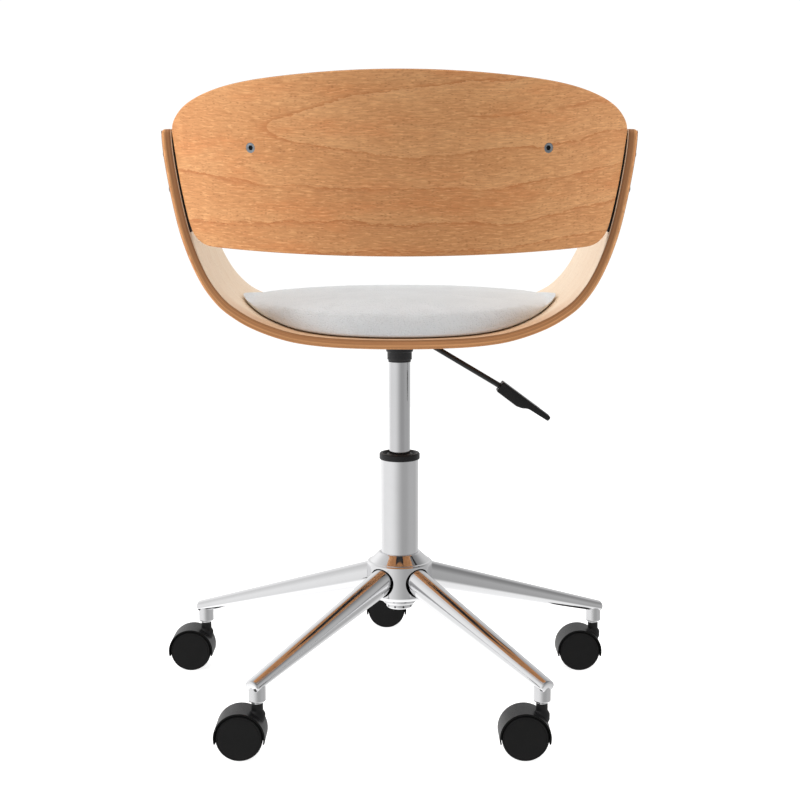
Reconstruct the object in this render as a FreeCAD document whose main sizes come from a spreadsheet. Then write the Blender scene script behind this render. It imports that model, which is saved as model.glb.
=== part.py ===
import FreeCAD, Part
import math
import os

# Swivel chair with a bent plywood shell on a gas lift and a five-arm castor base.
# Millimetres, +Z up, origin on the floor under the column axis, +Y to the chair's front,
# +X to the side that carries the height lever.

V = FreeCAD.Vector
doc = FreeCAD.newDocument("swivel_chair")
sheet = doc.addObject("Spreadsheet::Sheet", "Dims")


class Dim:
    """A driving dimension: the expression that names its cells, and its value now."""

    def __init__(self, expr, val):
        self.expr, self.val = expr, float(val)

    @staticmethod
    def of(other):
        return other if isinstance(other, Dim) else Dim(repr(float(other)), other)

    def __add__(self, o):
        o = Dim.of(o)
        return Dim("(%s + %s)" % (self.expr, o.expr), self.val + o.val)

    __radd__ = __add__

    def __sub__(self, o):
        o = Dim.of(o)
        return Dim("(%s - %s)" % (self.expr, o.expr), self.val - o.val)

    def __rsub__(self, o):
        return Dim.of(o) - self

    def __mul__(self, o):
        o = Dim.of(o)
        return Dim("(%s * %s)" % (self.expr, o.expr), self.val * o.val)

    __rmul__ = __mul__

    def __truediv__(self, o):
        o = Dim.of(o)
        return Dim("(%s / %s)" % (self.expr, o.expr), self.val / o.val)

    def __neg__(self):
        return Dim("(-1 * %s)" % self.expr, -self.val)


CELLS = [
    # base
    ("stem_circle", 290.0), ("arm_count", 5), ("arm_slope", 15.1),
    ("arm_root_reach", 33.0), ("arm_root_height", 160.2), ("arm_root_wide", 16.4), ("arm_root_tall", 18.2),
    ("arm_tip_reach", 300.6), ("arm_tip_wide", 10.4), ("arm_tip_tall", 7.6), ("arm_tip_drop", 72.2),
    ("mouth_radius", 18.9), ("root_ring_wall", 2.1),
    ("post_radius", 10.5), ("post_base", 68.6), ("post_top", 88.0), ("post_bore", 5.5), ("post_round", 1.6),
    ("hub_radius", 44.0), ("hub_rim_radius", 28.0), ("hub_rim_top", 192.5), ("hub_cone_radius", 39.8),
    ("hub_cone_base", 181.0), ("hub_shoulder", 178.6), ("hub_skirt", 137.0), ("hub_base", 129.2), ("hub_core", 27.0),
    ("bead_upper_radius", 23.0), ("bead_lower_radius", 18.0), ("bead_upper_base", 122.4), ("bead_lower_base", 115.6),
    # gas lift
    ("tube_radius", 25.0), ("tube_wall", 1.5), ("tube_base", 129.6), ("tube_top", 319.4),
    ("collar_radius", 27.0), ("collar_top", 328.2), ("sleeve_base", 246.0),
    ("lift_radius", 14.0), ("lift_bore", 11.5), ("lift_base", 255.0), ("lift_top", 474.0), ("lift_taper", 13.2),
    ("bore_top", 396.0), ("rod_radius", 5.0), ("rod_base", 116.6), ("rod_top", 273.0), ("run_fit", 0.05),
    ("cap_height", 11.0), ("piston_base", 267.5), ("seat_bearing", 135.0), ("bearing_height", 5.0),
    ("valve_radius", 3.5), ("valve_base", 436.0), ("valve_top", 478.75), ("valve_bore_base", 430.0),
    # mechanism
    ("socket_base", 450.0), ("socket_radius", 16.2), ("socket_flange", 17.8), ("socket_top", 488.5),
    ("plate_wide", 110.0), ("plate_long", 210.0), ("plate_thick", 2.5), ("plate_flange", 7.0),
    ("plate_bolt_x", 40.0), ("plate_bolt_y", 85.0),
    ("pivot_x", 24.0), ("pivot_z", 482.7), ("lever_radius", 3.6), ("lever_slope", 30.8), ("lever_long", 142.0),
    ("pivot_pin", 2.0), ("handle_wide", 23.0),
    # seat shell, in a frame at the middle of its rear lower edge
    ("shell_thick", 12.0), ("shell_tilt", 0.8), ("shell_rear", -195.0), ("shell_low", 486.8), ("shell_rise", 256.4),
    ("cushion_half", 196.0), ("cushion_rear", 110.0), ("cushion_front", 265.0), ("cushion_mid", 115.0), ("cushion_top", 49.0), ("soft_gap", 0.9),
    # back panel, in a frame at the middle of its rear face
    ("panel_radius", 385.0), ("panel_thick", 12.0), ("panel_recline", 7.5), ("panel_y", -298.0), ("panel_z", 700.0),
    ("panel_gap", 2.4), ("bolt_turn", 25.5), ("bolt_height", 14.5), ("bolt_head", 5.7),
    ("pad_half", 196.0), ("pad_tall", 78.0), ("pad_thick", 24.0), ("board_thick", 4.0),
    # castors
    ("wheel_radius", 28.3), ("castor_trail", 20.5), ("castor_half", 20.5), ("hood_radius", 31.0), ("hood_wall", 1.9),
    ("hood_drop", 13.0), ("neck_radius", 7.0), ("neck_top", 65.9), ("body_half", 7.0), ("wheel_in", 7.4),
    ("wheel_out", 20.0), ("axle_radius", 3.0), ("stem_radius", 4.0), ("stem_top", 84.0),
]
for row, (alias, value) in enumerate(CELLS, start=1):
    sheet.set("A%d" % row, alias.replace("_", " "))
    sheet.set("B%d" % row, str(value))
    sheet.setAlias("B%d" % row, alias)
doc.recompute()
D = {alias: Dim("Dims." + alias, sheet.get(alias)) for alias, _ in CELLS}


def n(name):
    return D[name].val


def bind(obj, prop, dim):
    if isinstance(dim, Dim):
        obj.setExpression(prop, dim.expr)
    else:
        setattr(obj, prop, dim)


SUBPARTS = []


def keep(obj, label):
    obj.Label = label
    SUBPARTS.append((label, obj))
    return obj


def origin_plane(body, role):
    return [f for f in body.Origin.OriginFeatures if f.Role == role][0]


def polygon(body, role, pts, name):
    """A closed polygon on one of the body's planes, every corner held by the sheet."""
    sk = body.newObject("Sketcher::SketchObject", name)
    sk.AttachmentSupport = [(origin_plane(body, role), "")]
    sk.MapMode = "FlatFace"
    pts = [(Dim.of(x), Dim.of(y)) for x, y in pts]
    count = len(pts)
    for i in range(count):
        a, b = pts[i], pts[(i + 1) % count]
        sk.addGeometry(Part.LineSegment(V(a[0].val, a[1].val, 0), V(b[0].val, b[1].val, 0)), False)
    import Sketcher
    for i in range(count):
        sk.addConstraint(Sketcher.Constraint("Coincident", i, 2, (i + 1) % count, 1))
    for i, (x, y) in enumerate(pts):
        for kind, dim, axis in (("DistanceX", x, -2), ("DistanceY", y, -1)):
            if abs(dim.val) < 1e-9:
                sk.addConstraint(Sketcher.Constraint("PointOnObject", i, 1, axis))
                continue
            if dim.val > 0:
                at = sk.addConstraint(Sketcher.Constraint(kind, -1, 1, i, 1, dim.val))
            else:
                dim = -dim
                at = sk.addConstraint(Sketcher.Constraint(kind, i, 1, -1, 1, dim.val))
            label = "c%d%s" % (i, kind[-1])
            sk.renameConstraint(at, label)
            sk.setExpression("Constraints." + label, dim.expr)
    return sk


def turned(label, pts, keep_it=True):
    """A piece turned about Z from a half section of (radius, height) corners."""
    body = doc.addObject("PartDesign::Body", label + "_body")
    sk = polygon(body, "XZ_Plane", pts, label + "_section")
    rev = body.newObject("PartDesign::Revolution", label + "_turn")
    rev.Profile = sk
    rev.ReferenceAxis = (sk, ["V_Axis"])
    rev.Angle = 360.0
    body.Tip = rev
    sk.Visibility = False
    return keep(body, label) if keep_it else body


def cylinder(name, radius, height, at=(0, 0, 0), rot=None, angle=None):
    c = doc.addObject("Part::Cylinder", name)
    bind(c, "Radius", radius)
    bind(c, "Height", height)
    if angle is not None:
        bind(c, "Angle", angle)
    put(c, at, rot)
    return c


def put(obj, at, rot=None):
    obj.Placement = FreeCAD.Placement(V(*[Dim.of(q).val for q in at]), rot or FreeCAD.Rotation())
    for axis, q in zip("xyz", at):
        if isinstance(q, Dim):
            obj.setExpression("Placement.Base." + axis, q.expr)


def block(name, size, at):
    b = doc.addObject("Part::Box", name)
    for prop, q in zip(("Length", "Width", "Height"), size):
        bind(b, prop, q)
    put(b, at)
    return b


def fuse(name, shapes):
    f = doc.addObject("Part::MultiFuse", name)
    f.Shapes = shapes
    return f


def cut(name, base, tool):
    c = doc.addObject("Part::Cut", name)
    c.Base, c.Tool = base, tool
    return c


def compound(name, links):
    c = doc.addObject("Part::Compound", name)
    c.Links = links
    return c


ALONG_X = FreeCAD.Rotation(V(0, 1, 0), 90)
ALONG_Y = FreeCAD.Rotation(V(1, 0, 0), -90)
BACK_Y = FreeCAD.Rotation(V(1, 0, 0), 90)


def spin(deg):
    return FreeCAD.Rotation(V(0, 0, 1), deg)


# ---------------------------------------------------------------- base hub
# Cast hub: a drum with a conical top, five round mouths for the arms and a bore for the column.
hub = turned("base_hub_blank", [
    (D["tube_radius"] + 0.02, D["hub_base"]),
    (D["hub_core"], D["hub_base"]),
    (D["hub_radius"] - 5, D["hub_skirt"] - 4.6),
    (D["hub_radius"] - 1.2, D["hub_skirt"] - 1.6),
    (D["hub_radius"], D["hub_skirt"]),
    (D["hub_radius"], D["hub_shoulder"]),
    (D["hub_cone_radius"] + 2.4, D["hub_cone_base"] - 0.5),
    (D["hub_cone_radius"], D["hub_cone_base"]),
    (D["hub_rim_radius"] + 0.8, D["hub_rim_top"] - 0.8),
    (D["hub_rim_radius"] - 0.4, D["hub_rim_top"]),
    (D["tube_radius"] + 0.6, D["hub_rim_top"]),
    (D["tube_radius"] + 0.02, D["hub_rim_top"] - 0.8),
], keep_it=False)
slope = n("arm_slope")
AZIMUTHS = [0, -72, -144, 144, 72]     # arm 1 points to the front, then clockwise from above


def arm_dir(k):
    a = math.radians(90 + AZIMUTHS[k])
    return V(math.cos(a), math.sin(a), 0)


mouths = []
for k in range(5):
    d = arm_dir(k)
    axis = V(d.x * math.cos(math.radians(slope)), d.y * math.cos(math.radians(slope)), -math.sin(math.radians(slope)))
    start = d * n("arm_root_reach") + V(0, 0, n("arm_root_height"))
    start = start - axis * 6.8
    c = cylinder("mouth_%d" % (k + 1), D["mouth_radius"], 60.0)
    c.Placement = FreeCAD.Placement(start, FreeCAD.Rotation(V(0, 0, 1), axis))
    mouths.append(c)
keep(cut("base_hub_cut", hub, fuse("mouth_tools", mouths)), "base_hub")


# ---------------------------------------------------------------- five arms
# Each arm is a tapering oval tube with a round post welded under its tip for the castor stem.
def ellipse(name, wide, tall, reach, height):
    e = doc.addObject("Part::Ellipse", name)
    big, small = (tall, wide) if tall.val >= wide.val else (wide, tall)
    bind(e, "MajorRadius", big)
    bind(e, "MinorRadius", small)
    # the ellipse's plane faces along +X; its long side stands up or lies flat
    rot = FreeCAD.Rotation(V(0, 1, 0), slope) * FreeCAD.Rotation(V(0, 1, 0), 90)
    if tall.val < wide.val:
        rot = rot * FreeCAD.Rotation(V(0, 0, 1), 90)
    e.Placement = FreeCAD.Placement(V(reach.val, 0, height.val), rot)
    e.setExpression("Placement.Base.x", reach.expr)
    e.setExpression("Placement.Base.z", height.expr)
    return e


for k in range(5):
    tag = "arm%d" % (k + 1)
    root = ellipse(tag + "_root", D["arm_root_wide"], D["arm_root_tall"], D["arm_root_reach"], D["arm_root_height"])
    tip = ellipse(tag + "_tip", D["arm_tip_wide"], D["arm_tip_tall"], D["arm_tip_reach"],
                  D["arm_root_height"] - D["arm_tip_drop"])
    tube = doc.addObject("Part::Loft", tag + "_tube")
    tube.Sections = [root, tip]
    tube.Solid, tube.Ruled, tube.Closed = True, True, False
    post = cylinder(tag + "_post", D["post_radius"], D["post_top"] - D["post_base"], (D["stem_circle"], 0, D["post_base"]))
    bore = cylinder(tag + "_bore", D["post_bore"], D["stem_top"] - D["post_base"] + 2,
                    (D["stem_circle"], 0, D["post_base"] - 1))
    whole = fuse(tag + "_whole", [tube, post])
    arm = cut(tag + "_bored", whole, bore)
    arm.Placement = FreeCAD.Placement(V(0, 0, 0), spin(90 + AZIMUTHS[k]))
    keep(arm, "base_arm_%d" % (k + 1))

# black rings that fill the gap between each arm's root and its mouth
rings = []
for k in range(5):
    d = arm_dir(k)
    axis = V(d.x * math.cos(math.radians(slope)), d.y * math.cos(math.radians(slope)), -math.sin(math.radians(slope)))
    start = d * n("arm_root_reach") + V(0, 0, n("arm_root_height"))
    ring = cylinder("ring_out_%d" % (k + 1), D["mouth_radius"] - 0.02, 6.0)
    ring.Placement = FreeCAD.Placement(start - axis * 2.0, FreeCAD.Rotation(V(0, 0, 1), axis))
    hole = doc.addObject("Part::Feature", "ring_hole_%d" % (k + 1))
    root_shape = Part.Ellipse(V(0, 0, 0), n("arm_root_tall") + 0.25, n("arm_root_wide") + 0.25).toShape()
    hole.Shape = Part.Face(Part.Wire([root_shape])).extrude(V(0, 0, 40))
    rot = spin(90 + AZIMUTHS[k]) * FreeCAD.Rotation(V(0, 1, 0), slope) * FreeCAD.Rotation(V(0, 1, 0), 90)
    hole.Placement = FreeCAD.Placement(start - axis * 10.0, rot)
    rings.append(cut("ring_%d" % (k + 1), ring, hole))
keep(compound("root_rings", rings), "arm_root_rings")

# ---------------------------------------------------------------- column
turned("hub_lower_collar", [
    (D["rod_radius"] + D["run_fit"], D["hub_base"] - 8.4),
    (D["rod_radius"] + D["run_fit"], D["seat_bearing"]),
    (D["tube_radius"] - D["tube_wall"] - 0.05, D["seat_bearing"]),
    (D["tube_radius"] - D["tube_wall"] - 0.05, D["hub_base"] - 0.2),
    (D["bead_upper_radius"] - 1.6, D["hub_base"] - 0.2),
    (D["bead_upper_radius"] - 0.4, D["hub_base"] - 1.4),
    (D["bead_upper_radius"], D["hub_base"] - 3.4),
    (D["bead_upper_radius"] - 0.4, D["bead_upper_base"] + 1.4),
    (D["bead_upper_radius"] - 1.8, D["bead_upper_base"]),
    (D["bead_lower_radius"] - 0.8, D["bead_upper_base"]),
    (D["bead_lower_radius"], D["bead_upper_base"] - 2.0),
    (D["bead_lower_radius"], D["bead_lower_base"] + 1.8),
    (D["bead_lower_radius"] - 1.6, D["bead_lower_base"]),
    (D["rod_radius"] + 4.0, D["bead_lower_base"]),
    (D["rod_radius"] + 4.0, D["hub_base"] - 8.4),
])
turned("column_tube", [
    (D["tube_radius"] - D["tube_wall"], D["tube_base"]),
    (D["tube_radius"], D["tube_base"]),
    (D["tube_radius"], D["tube_top"] - 0.6),
    (D["tube_radius"] - 0.5, D["tube_top"]),
    (D["tube_radius"] - D["tube_wall"], D["tube_top"]),
])
turned("column_collar", [
    (D["lift_radius"] + 0.45, D["tube_top"] + 0.1),
    (D["collar_radius"] - 0.6, D["tube_top"] + 0.1),
    (D["collar_radius"], D["tube_top"] + 0.9),
    (D["collar_radius"], D["collar_top"] - 2.2),
    (D["collar_radius"] - 0.9, D["collar_top"] - 0.5),
    (D["collar_radius"] - 2.4, D["collar_top"]),
    (D["collar_radius"] - 4.6, D["collar_top"] - 0.6),
    (D["collar_radius"] - 6.2, D["collar_top"] - 3.4),
    (D["lift_radius"] + 4.4, D["collar_top"] - 4.2),
    (D["lift_radius"] + 3.0, D["collar_top"] - 2.4),
    (D["lift_radius"] + 1.4, D["collar_top"] - 1.8),
    (D["lift_radius"] + 0.45, D["collar_top"] - 2.8),
])
turned("guide_sleeve", [
    (D["lift_radius"] + D["run_fit"], D["sleeve_base"]),
    (D["tube_radius"] - D["tube_wall"] - 0.05, D["sleeve_base"]),
    (D["tube_radius"] - D["tube_wall"] - 0.05, D["tube_top"]),
    (D["lift_radius"] + D["run_fit"], D["tube_top"]),
])
turned("thrust_bearing", [
    (D["rod_radius"] + 0.6, D["seat_bearing"]),
    (D["rod_radius"] + 7.0, D["seat_bearing"]),
    (D["rod_radius"] + 7.0, D["seat_bearing"] + D["bearing_height"]),
    (D["rod_radius"] + 0.6, D["seat_bearing"] + D["bearing_height"]),
])
# piston rod with a shoulder that stands on the bearing
turned("piston_rod", [
    (0, D["rod_base"]),
    (D["rod_radius"] - 0.8, D["rod_base"]),
    (D["rod_radius"], D["rod_base"] + 0.8),
    (D["rod_radius"], D["seat_bearing"] + D["bearing_height"] + 0.35),
    (D["rod_radius"] + 4.0, D["seat_bearing"] + D["bearing_height"] + 0.35),
    (D["rod_radius"] + 4.0, D["seat_bearing"] + D["bearing_height"] + 2.4),
    (D["rod_radius"], D["seat_bearing"] + D["bearing_height"] + 2.4),
    (D["rod_radius"], D["rod_top"] - 0.5),
    (D["rod_radius"] - 0.5, D["rod_top"]),
    (0, D["rod_top"]),
])
turned("piston_head", [
    (D["rod_radius"], D["piston_base"]),
    (D["lift_bore"] - 0.08, D["piston_base"]),
    (D["lift_bore"] - 0.08, D["rod_top"] - 0.6),
    (D["lift_bore"] - 1.0, D["rod_top"]),
    (D["rod_radius"], D["rod_top"]),
])
turned("retaining_clip", [
    (D["rod_radius"], D["hub_base"] - 10.3),
    (D["rod_radius"] + 3.0, D["hub_base"] - 10.3),
    (D["rod_radius"] + 3.0, D["hub_base"] - 8.75),
    (D["rod_radius"], D["hub_base"] - 8.75),
])

# ---------------------------------------------------------------- gas cylinder and valve
turned("gas_cylinder", [
    (D["lift_bore"], D["lift_base"]),
    (D["lift_radius"] - 0.6, D["lift_base"]),
    (D["lift_radius"], D["lift_base"] + 0.8),
    (D["lift_radius"], D["socket_base"] + 0.2),
    (D["lift_taper"], D["lift_top"] - 0.8),
    (D["lift_taper"] - 0.8, D["lift_top"]),
    (D["valve_radius"] + D["run_fit"], D["lift_top"]),
    (D["valve_radius"] + D["run_fit"], D["valve_bore_base"]),
    (0, D["valve_bore_base"]),
    (0, D["bore_top"]),
    (D["lift_bore"], D["bore_top"]),
])
turned("cylinder_end_cap", [
    (D["rod_radius"] + D["run_fit"], D["lift_base"] + 0.4),
    (D["lift_bore"], D["lift_base"] + 0.4),
    (D["lift_bore"], D["lift_base"] + D["cap_height"]),
    (D["rod_radius"] + D["run_fit"], D["lift_base"] + D["cap_height"]),
])
turned("release_pin", [
    (0, D["valve_base"]),
    (D["valve_radius"], D["valve_base"]),
    (D["valve_radius"], D["valve_top"] - 0.6),
    (D["valve_radius"] - 0.6, D["valve_top"]),
    (0, D["valve_top"]),
])

# ---------------------------------------------------------------- swivel plate, taper socket, lever
socket = turned("socket_blank", [
    (D["lift_radius"] + 0.03, D["socket_base"]),
    (D["lift_radius"] + 0.9, D["socket_base"]),
    (D["lift_radius"] + 1.0, D["socket_base"] + 3.0),
    (D["socket_radius"] - 0.5, D["socket_base"] + 3.0),
    (D["socket_radius"], D["socket_base"] + 3.8),
    (D["socket_radius"], D["socket_base"] + 13.0),
    (D["socket_flange"], D["socket_base"] + 14.0),
    (D["socket_flange"], D["socket_base"] + 21.0),
    (D["socket_radius"], D["socket_base"] + 22.0),
    (D["socket_radius"], D["socket_top"]),
    (D["lift_taper"] + 0.05, D["socket_top"]),
    (D["lift_taper"] + 0.05, D["lift_top"] - 0.6),
], keep_it=False)
slot = block("socket_slot", (24.0, 11.0, D["socket_top"] - D["lift_top"] + 2), (0, -5.5, D["lift_top"] + 1.2))
keep(cut("socket_slotted", socket, slot), "taper_socket")

tilt = FreeCAD.Rotation(V(1, 0, 0), n("shell_tilt"))
PIV = V(0, n("shell_rear"), n("shell_low"))
SHELL = FreeCAD.Placement(PIV, tilt)            # frame of the shell and all that is bolted to it


def in_shell(obj):
    """The object's own placement, carried into the tilted frame of the shell."""
    obj.Placement = SHELL.multiply(obj.Placement)


# the plate lies under the shell; its long sides are folded down
yp = -n("shell_rear") / math.cos(math.radians(n("shell_tilt")))
plate = block("plate_top", (D["plate_wide"], D["plate_long"], D["plate_thick"]),
              (-n("plate_wide") / 2, yp - n("plate_long") / 2, -n("plate_thick") - 0.05))
left = block("plate_left", (D["plate_thick"], D["plate_long"], D["plate_flange"]),
             (-n("plate_wide") / 2, yp - n("plate_long") / 2, -n("plate_thick") - 0.04 - n("plate_flange")))
right = block("plate_right", (D["plate_thick"], D["plate_long"], D["plate_flange"]),
              (n("plate_wide") / 2 - n("plate_thick"), yp - n("plate_long") / 2,
               -n("plate_thick") - 0.04 - n("plate_flange")))
for piece in (plate, left, right):
    in_shell(piece)
ears = [block("ear_%d" % i, (10.0, 2.5, 10.4), (D["pivot_x"] - 5, y, D["pivot_z"] - 5.2)) for i, y in ((1, -7.4), (2, 4.9))]
solid_plate = fuse("plate_whole", [plate, left, right] + ears)
tools = [cylinder("plate_bore", D["socket_radius"] + 0.1, 30.0, (0, 0, 480)),
         cylinder("ear_bore", D["pivot_pin"], 40.0, (D["pivot_x"], -20, D["pivot_z"]), ALONG_Y)]
BOLTS = [(sx * n("plate_bolt_x"), yp + sy * n("plate_bolt_y")) for sx in (-1, 1) for sy in (-1, 1)]
for i, (bx, by) in enumerate(BOLTS):
    hole = cylinder("plate_hole_%d" % (i + 1), 3.1, 12.0, (bx, by, -8.0))
    in_shell(hole)
    tools.append(hole)
keep(cut("plate_cut", solid_plate, fuse("plate_tools", tools)), "seat_plate")

bolts = []
for i, (bx, by) in enumerate(BOLTS):
    head = cylinder("plate_bolt_head_%d" % (i + 1), 6.0, 3.8, (bx, by, -n("plate_thick") - 0.05 - 3.8))
    shank = cylinder("plate_bolt_shank_%d" % (i + 1), 3.0, 14.0, (bx, by, -n("plate_thick") - 0.6 - 3.0))
    both = fuse("plate_bolt_solid_%d" % (i + 1), [head, shank])
    key = doc.addObject("Part::Prism", "plate_bolt_key_%d" % (i + 1))
    key.Polygon = 6
    key.Circumradius = 2.6
    key.Height = 2.4
    key.Placement.Base = V(bx, by, -n("plate_thick") - 0.05 - 4.2)
    one = cut("plate_bolt_%d" % (i + 1), both, key)
    one.Placement = SHELL
    bolts.append(one)
keep(compound("plate_bolt_group", bolts), "plate_bolts")

keep(cylinder("pivot_pin_solid", D["pivot_pin"], 19.0, (D["pivot_x"], -9.5, D["pivot_z"]), ALONG_Y), "lever_pivot_pin")

# lever: a bent rod over the valve pin, with a flat grip pushed on its end
inner = cylinder("lever_inner", D["lever_radius"], D["pivot_x"] + 1.0, (-1.0, 0, D["pivot_z"]), ALONG_X)
knee = doc.addObject("Part::Sphere", "lever_knee")
bind(knee, "Radius", D["lever_radius"])
put(knee, (D["pivot_x"], 0, D["pivot_z"]))
outer = cylinder("lever_outer", D["lever_radius"], D["lever_long"], (D["pivot_x"], 0, D["pivot_z"]),
                 FreeCAD.Rotation(V(0, 1, 0), 90 + n("lever_slope")))
rod_hole = cylinder("lever_eye", D["pivot_pin"] + 0.05, 20.0, (D["pivot_x"], -10, D["pivot_z"]), ALONG_Y)
keep(cut("lever_bent", fuse("lever_whole", [inner, knee, outer]), rod_hole), "lever_rod")

grip = doc.addObject("PartDesign::Body", "grip_body")
grip_pts = [(128.3, 411.4), (154.4, 391.6), (162.0, 388.6), (170.0, 388.2), (196.7, 371.4), (200.9, 376.5), (136.9, 424.1)]
gsk = polygon(grip, "XZ_Plane", grip_pts, "grip_section")
gpad = grip.newObject("PartDesign::Pad", "grip_pad")
gpad.Profile = gsk
gpad.Midplane = True
gpad.setExpression("Length", "Dims.handle_wide")
grip.Tip = gpad
gsk.Visibility = False
doc.recompute()
edges = ["Edge%d" % (i + 1) for i, e in enumerate(gpad.Shape.Edges)]
gfil = grip.newObject("PartDesign::Fillet", "grip_round")
gfil.Base = (gpad, edges)
gfil.Radius = 1.9
grip.Tip = gfil
sock = cylinder("grip_socket", D["lever_radius"], D["lever_long"] + 0.2, (D["pivot_x"], 0, D["pivot_z"]),
                FreeCAD.Rotation(V(0, 1, 0), 90 + n("lever_slope")))
keep(cut("grip_bored", grip, sock), "lever_handle")


# ---------------------------------------------------------------- seat shell
# One U of bent plywood. (x, height) of the outer face's half section, from the middle to the arm's top.
OUTER = [(0.0, 0.0), (30.0, 0.25), (59.5, 1.2), (84.0, 2.6), (106.6, 5.0), (126.0, 8.2), (144.1, 13.0), (162.9, 19.6),
         (181.8, 28.2), (198.0, 38.2), (209.0, 46.6), (220.0, 58.2), (229.0, 70.4), (241.6, 93.9), (250.8, 117.2),
         (257.9, 140.4), (263.2, 163.6), (267.8, 187.8), (271.4, 209.6), (273.9, 227.9), (275.3, 243.9), (275.7, 256.4)]


def spline(pts, knots=None):
    c = Part.BSplineCurve()
    if knots:
        c.interpolate(Points=[V(*p) for p in pts], Parameters=knots)
    else:
        c.interpolate([V(*p) for p in pts])
    return c


def mirrored(half):
    return [(-x, z) for x, z in reversed(half[1:])] + list(half)


_curve = spline([(x, 0, z) for x, z in mirrored(OUTER)])
_lo, _hi = _curve.FirstParameter, _curve.LastParameter
_dense = [_curve.value(_lo + (_hi - _lo) * i / 4000) for i in range(4001)]
_arc = [0.0]
for _i in range(4000):
    _arc.append(_arc[-1] + (_dense[_i + 1] - _dense[_i]).Length)
S_MAX = _arc[-1] / 2


def profile_at(sv, dist):
    """The point of the U section at arc position sv from its middle, dist inside the outer face."""
    want = min(max(sv + S_MAX, 0.0), _arc[-1])
    a, b = 0, 4000
    while b - a > 1:
        mid = (a + b) // 2
        if _arc[mid] <= want:
            a = mid
        else:
            b = mid
    u = _lo + (_hi - _lo) * (a + (want - _arc[a]) / max(_arc[b] - _arc[a], 1e-9)) / 4000
    p, t = _curve.value(u), _curve.tangent(u)[0]
    return (p.x - t.z * dist, p.z + t.x * dist)


def stations():
    """Arc positions of the sections, closer together at the arms' rounded tops."""
    half = [0.0]
    while half[-1] < S_MAX - 44:
        half.append(half[-1] + 8.0)
    step = half[-1]
    while step < S_MAX - 16:
        step += 3.5
        half.append(min(step, S_MAX - 14))
    end = half[-1]
    half += [end + (S_MAX - end) * q for q in (0.18, 0.36, 0.52, 0.66, 0.78, 0.87, 0.94, 1.0)]
    return [-q for q in reversed(half[1:])] + half


def offset_profile(dist):
    """The whole U section at a distance inside the outer face."""
    out = []
    for sv in stations():
        x, z = profile_at(sv, dist)
        out.append((x, 0, z))
    return out


# how far forward the shell reaches, by arc position from the middle of the seat to the arm's top
FRONT = [(0.0, 411.0), (40.0, 409.5), (75.0, 404.0), (105.0, 393.5), (130.0, 378.0), (150.0, 358.0), (168.0, 333.0),
         (184.0, 306.0), (200.0, 281.0), (218.0, 259.5), (240.0, 241.0), (262.0, 227.5), (290.0, 215.5), (325.0, 205.0),
         (360.0, 195.5), (392.0, 188.0), (413.5, 185.0), (S_MAX, 184.0)]


def section(outer_row, inner_row):
    a, b = spline(outer_row).toShape(), spline(inner_row).toShape()
    e1 = Part.LineSegment(V(*outer_row[-1]), V(*inner_row[-1])).toShape()
    e2 = Part.LineSegment(V(*inner_row[0]), V(*outer_row[0])).toShape()
    return Part.Face(Part.Wire(Part.__sortEdges__([a, e1, b, e2])))


shell_shape = section(offset_profile(0.0), offset_profile(n("shell_thick"))).extrude(V(0, 411, 0))
# The front edge is cut along a slant through each bend, so that it stays square to the plywood there.
HALF = math.sqrt(0.5)


def slant(y, w):
    return (w * HALF, y, w * HALF)


mid = []
for sv, y in FRONT:
    x, z = profile_at(sv, n("shell_thick") / 2)
    mid.append((y, (x + z) * HALF))
low_w, top_w = mid[0][1], mid[-1][1]
edge_line = [slant(411.0, -30.0), slant(411.0, low_w - 12.0)] + [slant(y, w) for y, w in mid]
edge_line += [slant(mid[-1][0] - 4.0, top_w + 25.0)]
far = [slant(mid[-1][0] - 4.0, top_w + 25.0), slant(470.0, top_w + 25.0), slant(470.0, -30.0), slant(411.0, -30.0)]
loop = [spline(edge_line[1:]).toShape()]
loop += [Part.LineSegment(V(*p), V(*q)).toShape()
         for p, q in ((edge_line[0], edge_line[1]), (far[0], far[1]), (far[1], far[2]), (far[2], far[3]))]
front_face = Part.Face(Part.Wire(Part.__sortEdges__(loop)))
front_face.translate(V(-300, 0, 300))
front_tool = front_face.extrude(V(600, 0, -600)).common(Part.makeBox(400, 500, 500, V(0, 0, -60)))
front_left = front_tool.mirror(V(0, 0, 0), V(1, 0, 0))
top = n("shell_rise")


def corner_tool(y, r, way):
    """What a rounded upper corner of an arm takes away: r is its radius, way its outward side."""
    c = V(-300, y - way * r, top - r)
    face = Part.Face(Part.makePolygon([V(-300, y - way * r, top - r), V(-300, y + way * 12, top - r),
                                       V(-300, y + way * 12, top + 12), V(-300, y - way * r, top + 12),
                                       V(-300, y - way * r, top - r)]))
    return face.extrude(V(600, 0, 0)).cut(Part.makeCylinder(r, 600, c, V(1, 0, 0)))


for tool in (front_tool, front_left, corner_tool(0.0, 7.0, -1), corner_tool(185.0, 30.0, 1)):
    shell_shape = shell_shape.cut(tool)
print("shell solid", shell_shape.isValid(), round(shell_shape.Volume), len(shell_shape.Solids))
holes = []
for bx, by in BOLTS:
    holes.append(Part.makeCylinder(3.05, 11.2, V(bx, by, -1.5)))
ARM_SCREWS = [(sx, 12.5, h) for sx in (-1, 1) for h in (228.0, 188.0)]
arm_x = {228.0: 273.9, 188.0: 267.8}
for sx, y, h in ARM_SCREWS:
    holes.append(Part.makeCylinder(2.05, 40, V(sx * (arm_x[h] + 6), y, h), V(-sx, 0, 0)))
for hole in holes:
    shell_shape = shell_shape.cut(hole)
shell = doc.addObject("Part::Feature", "shell_solid")
shell.Shape = shell_shape.Solids[0]
shell.Placement = SHELL
keep(shell, "seat_shell")

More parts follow.
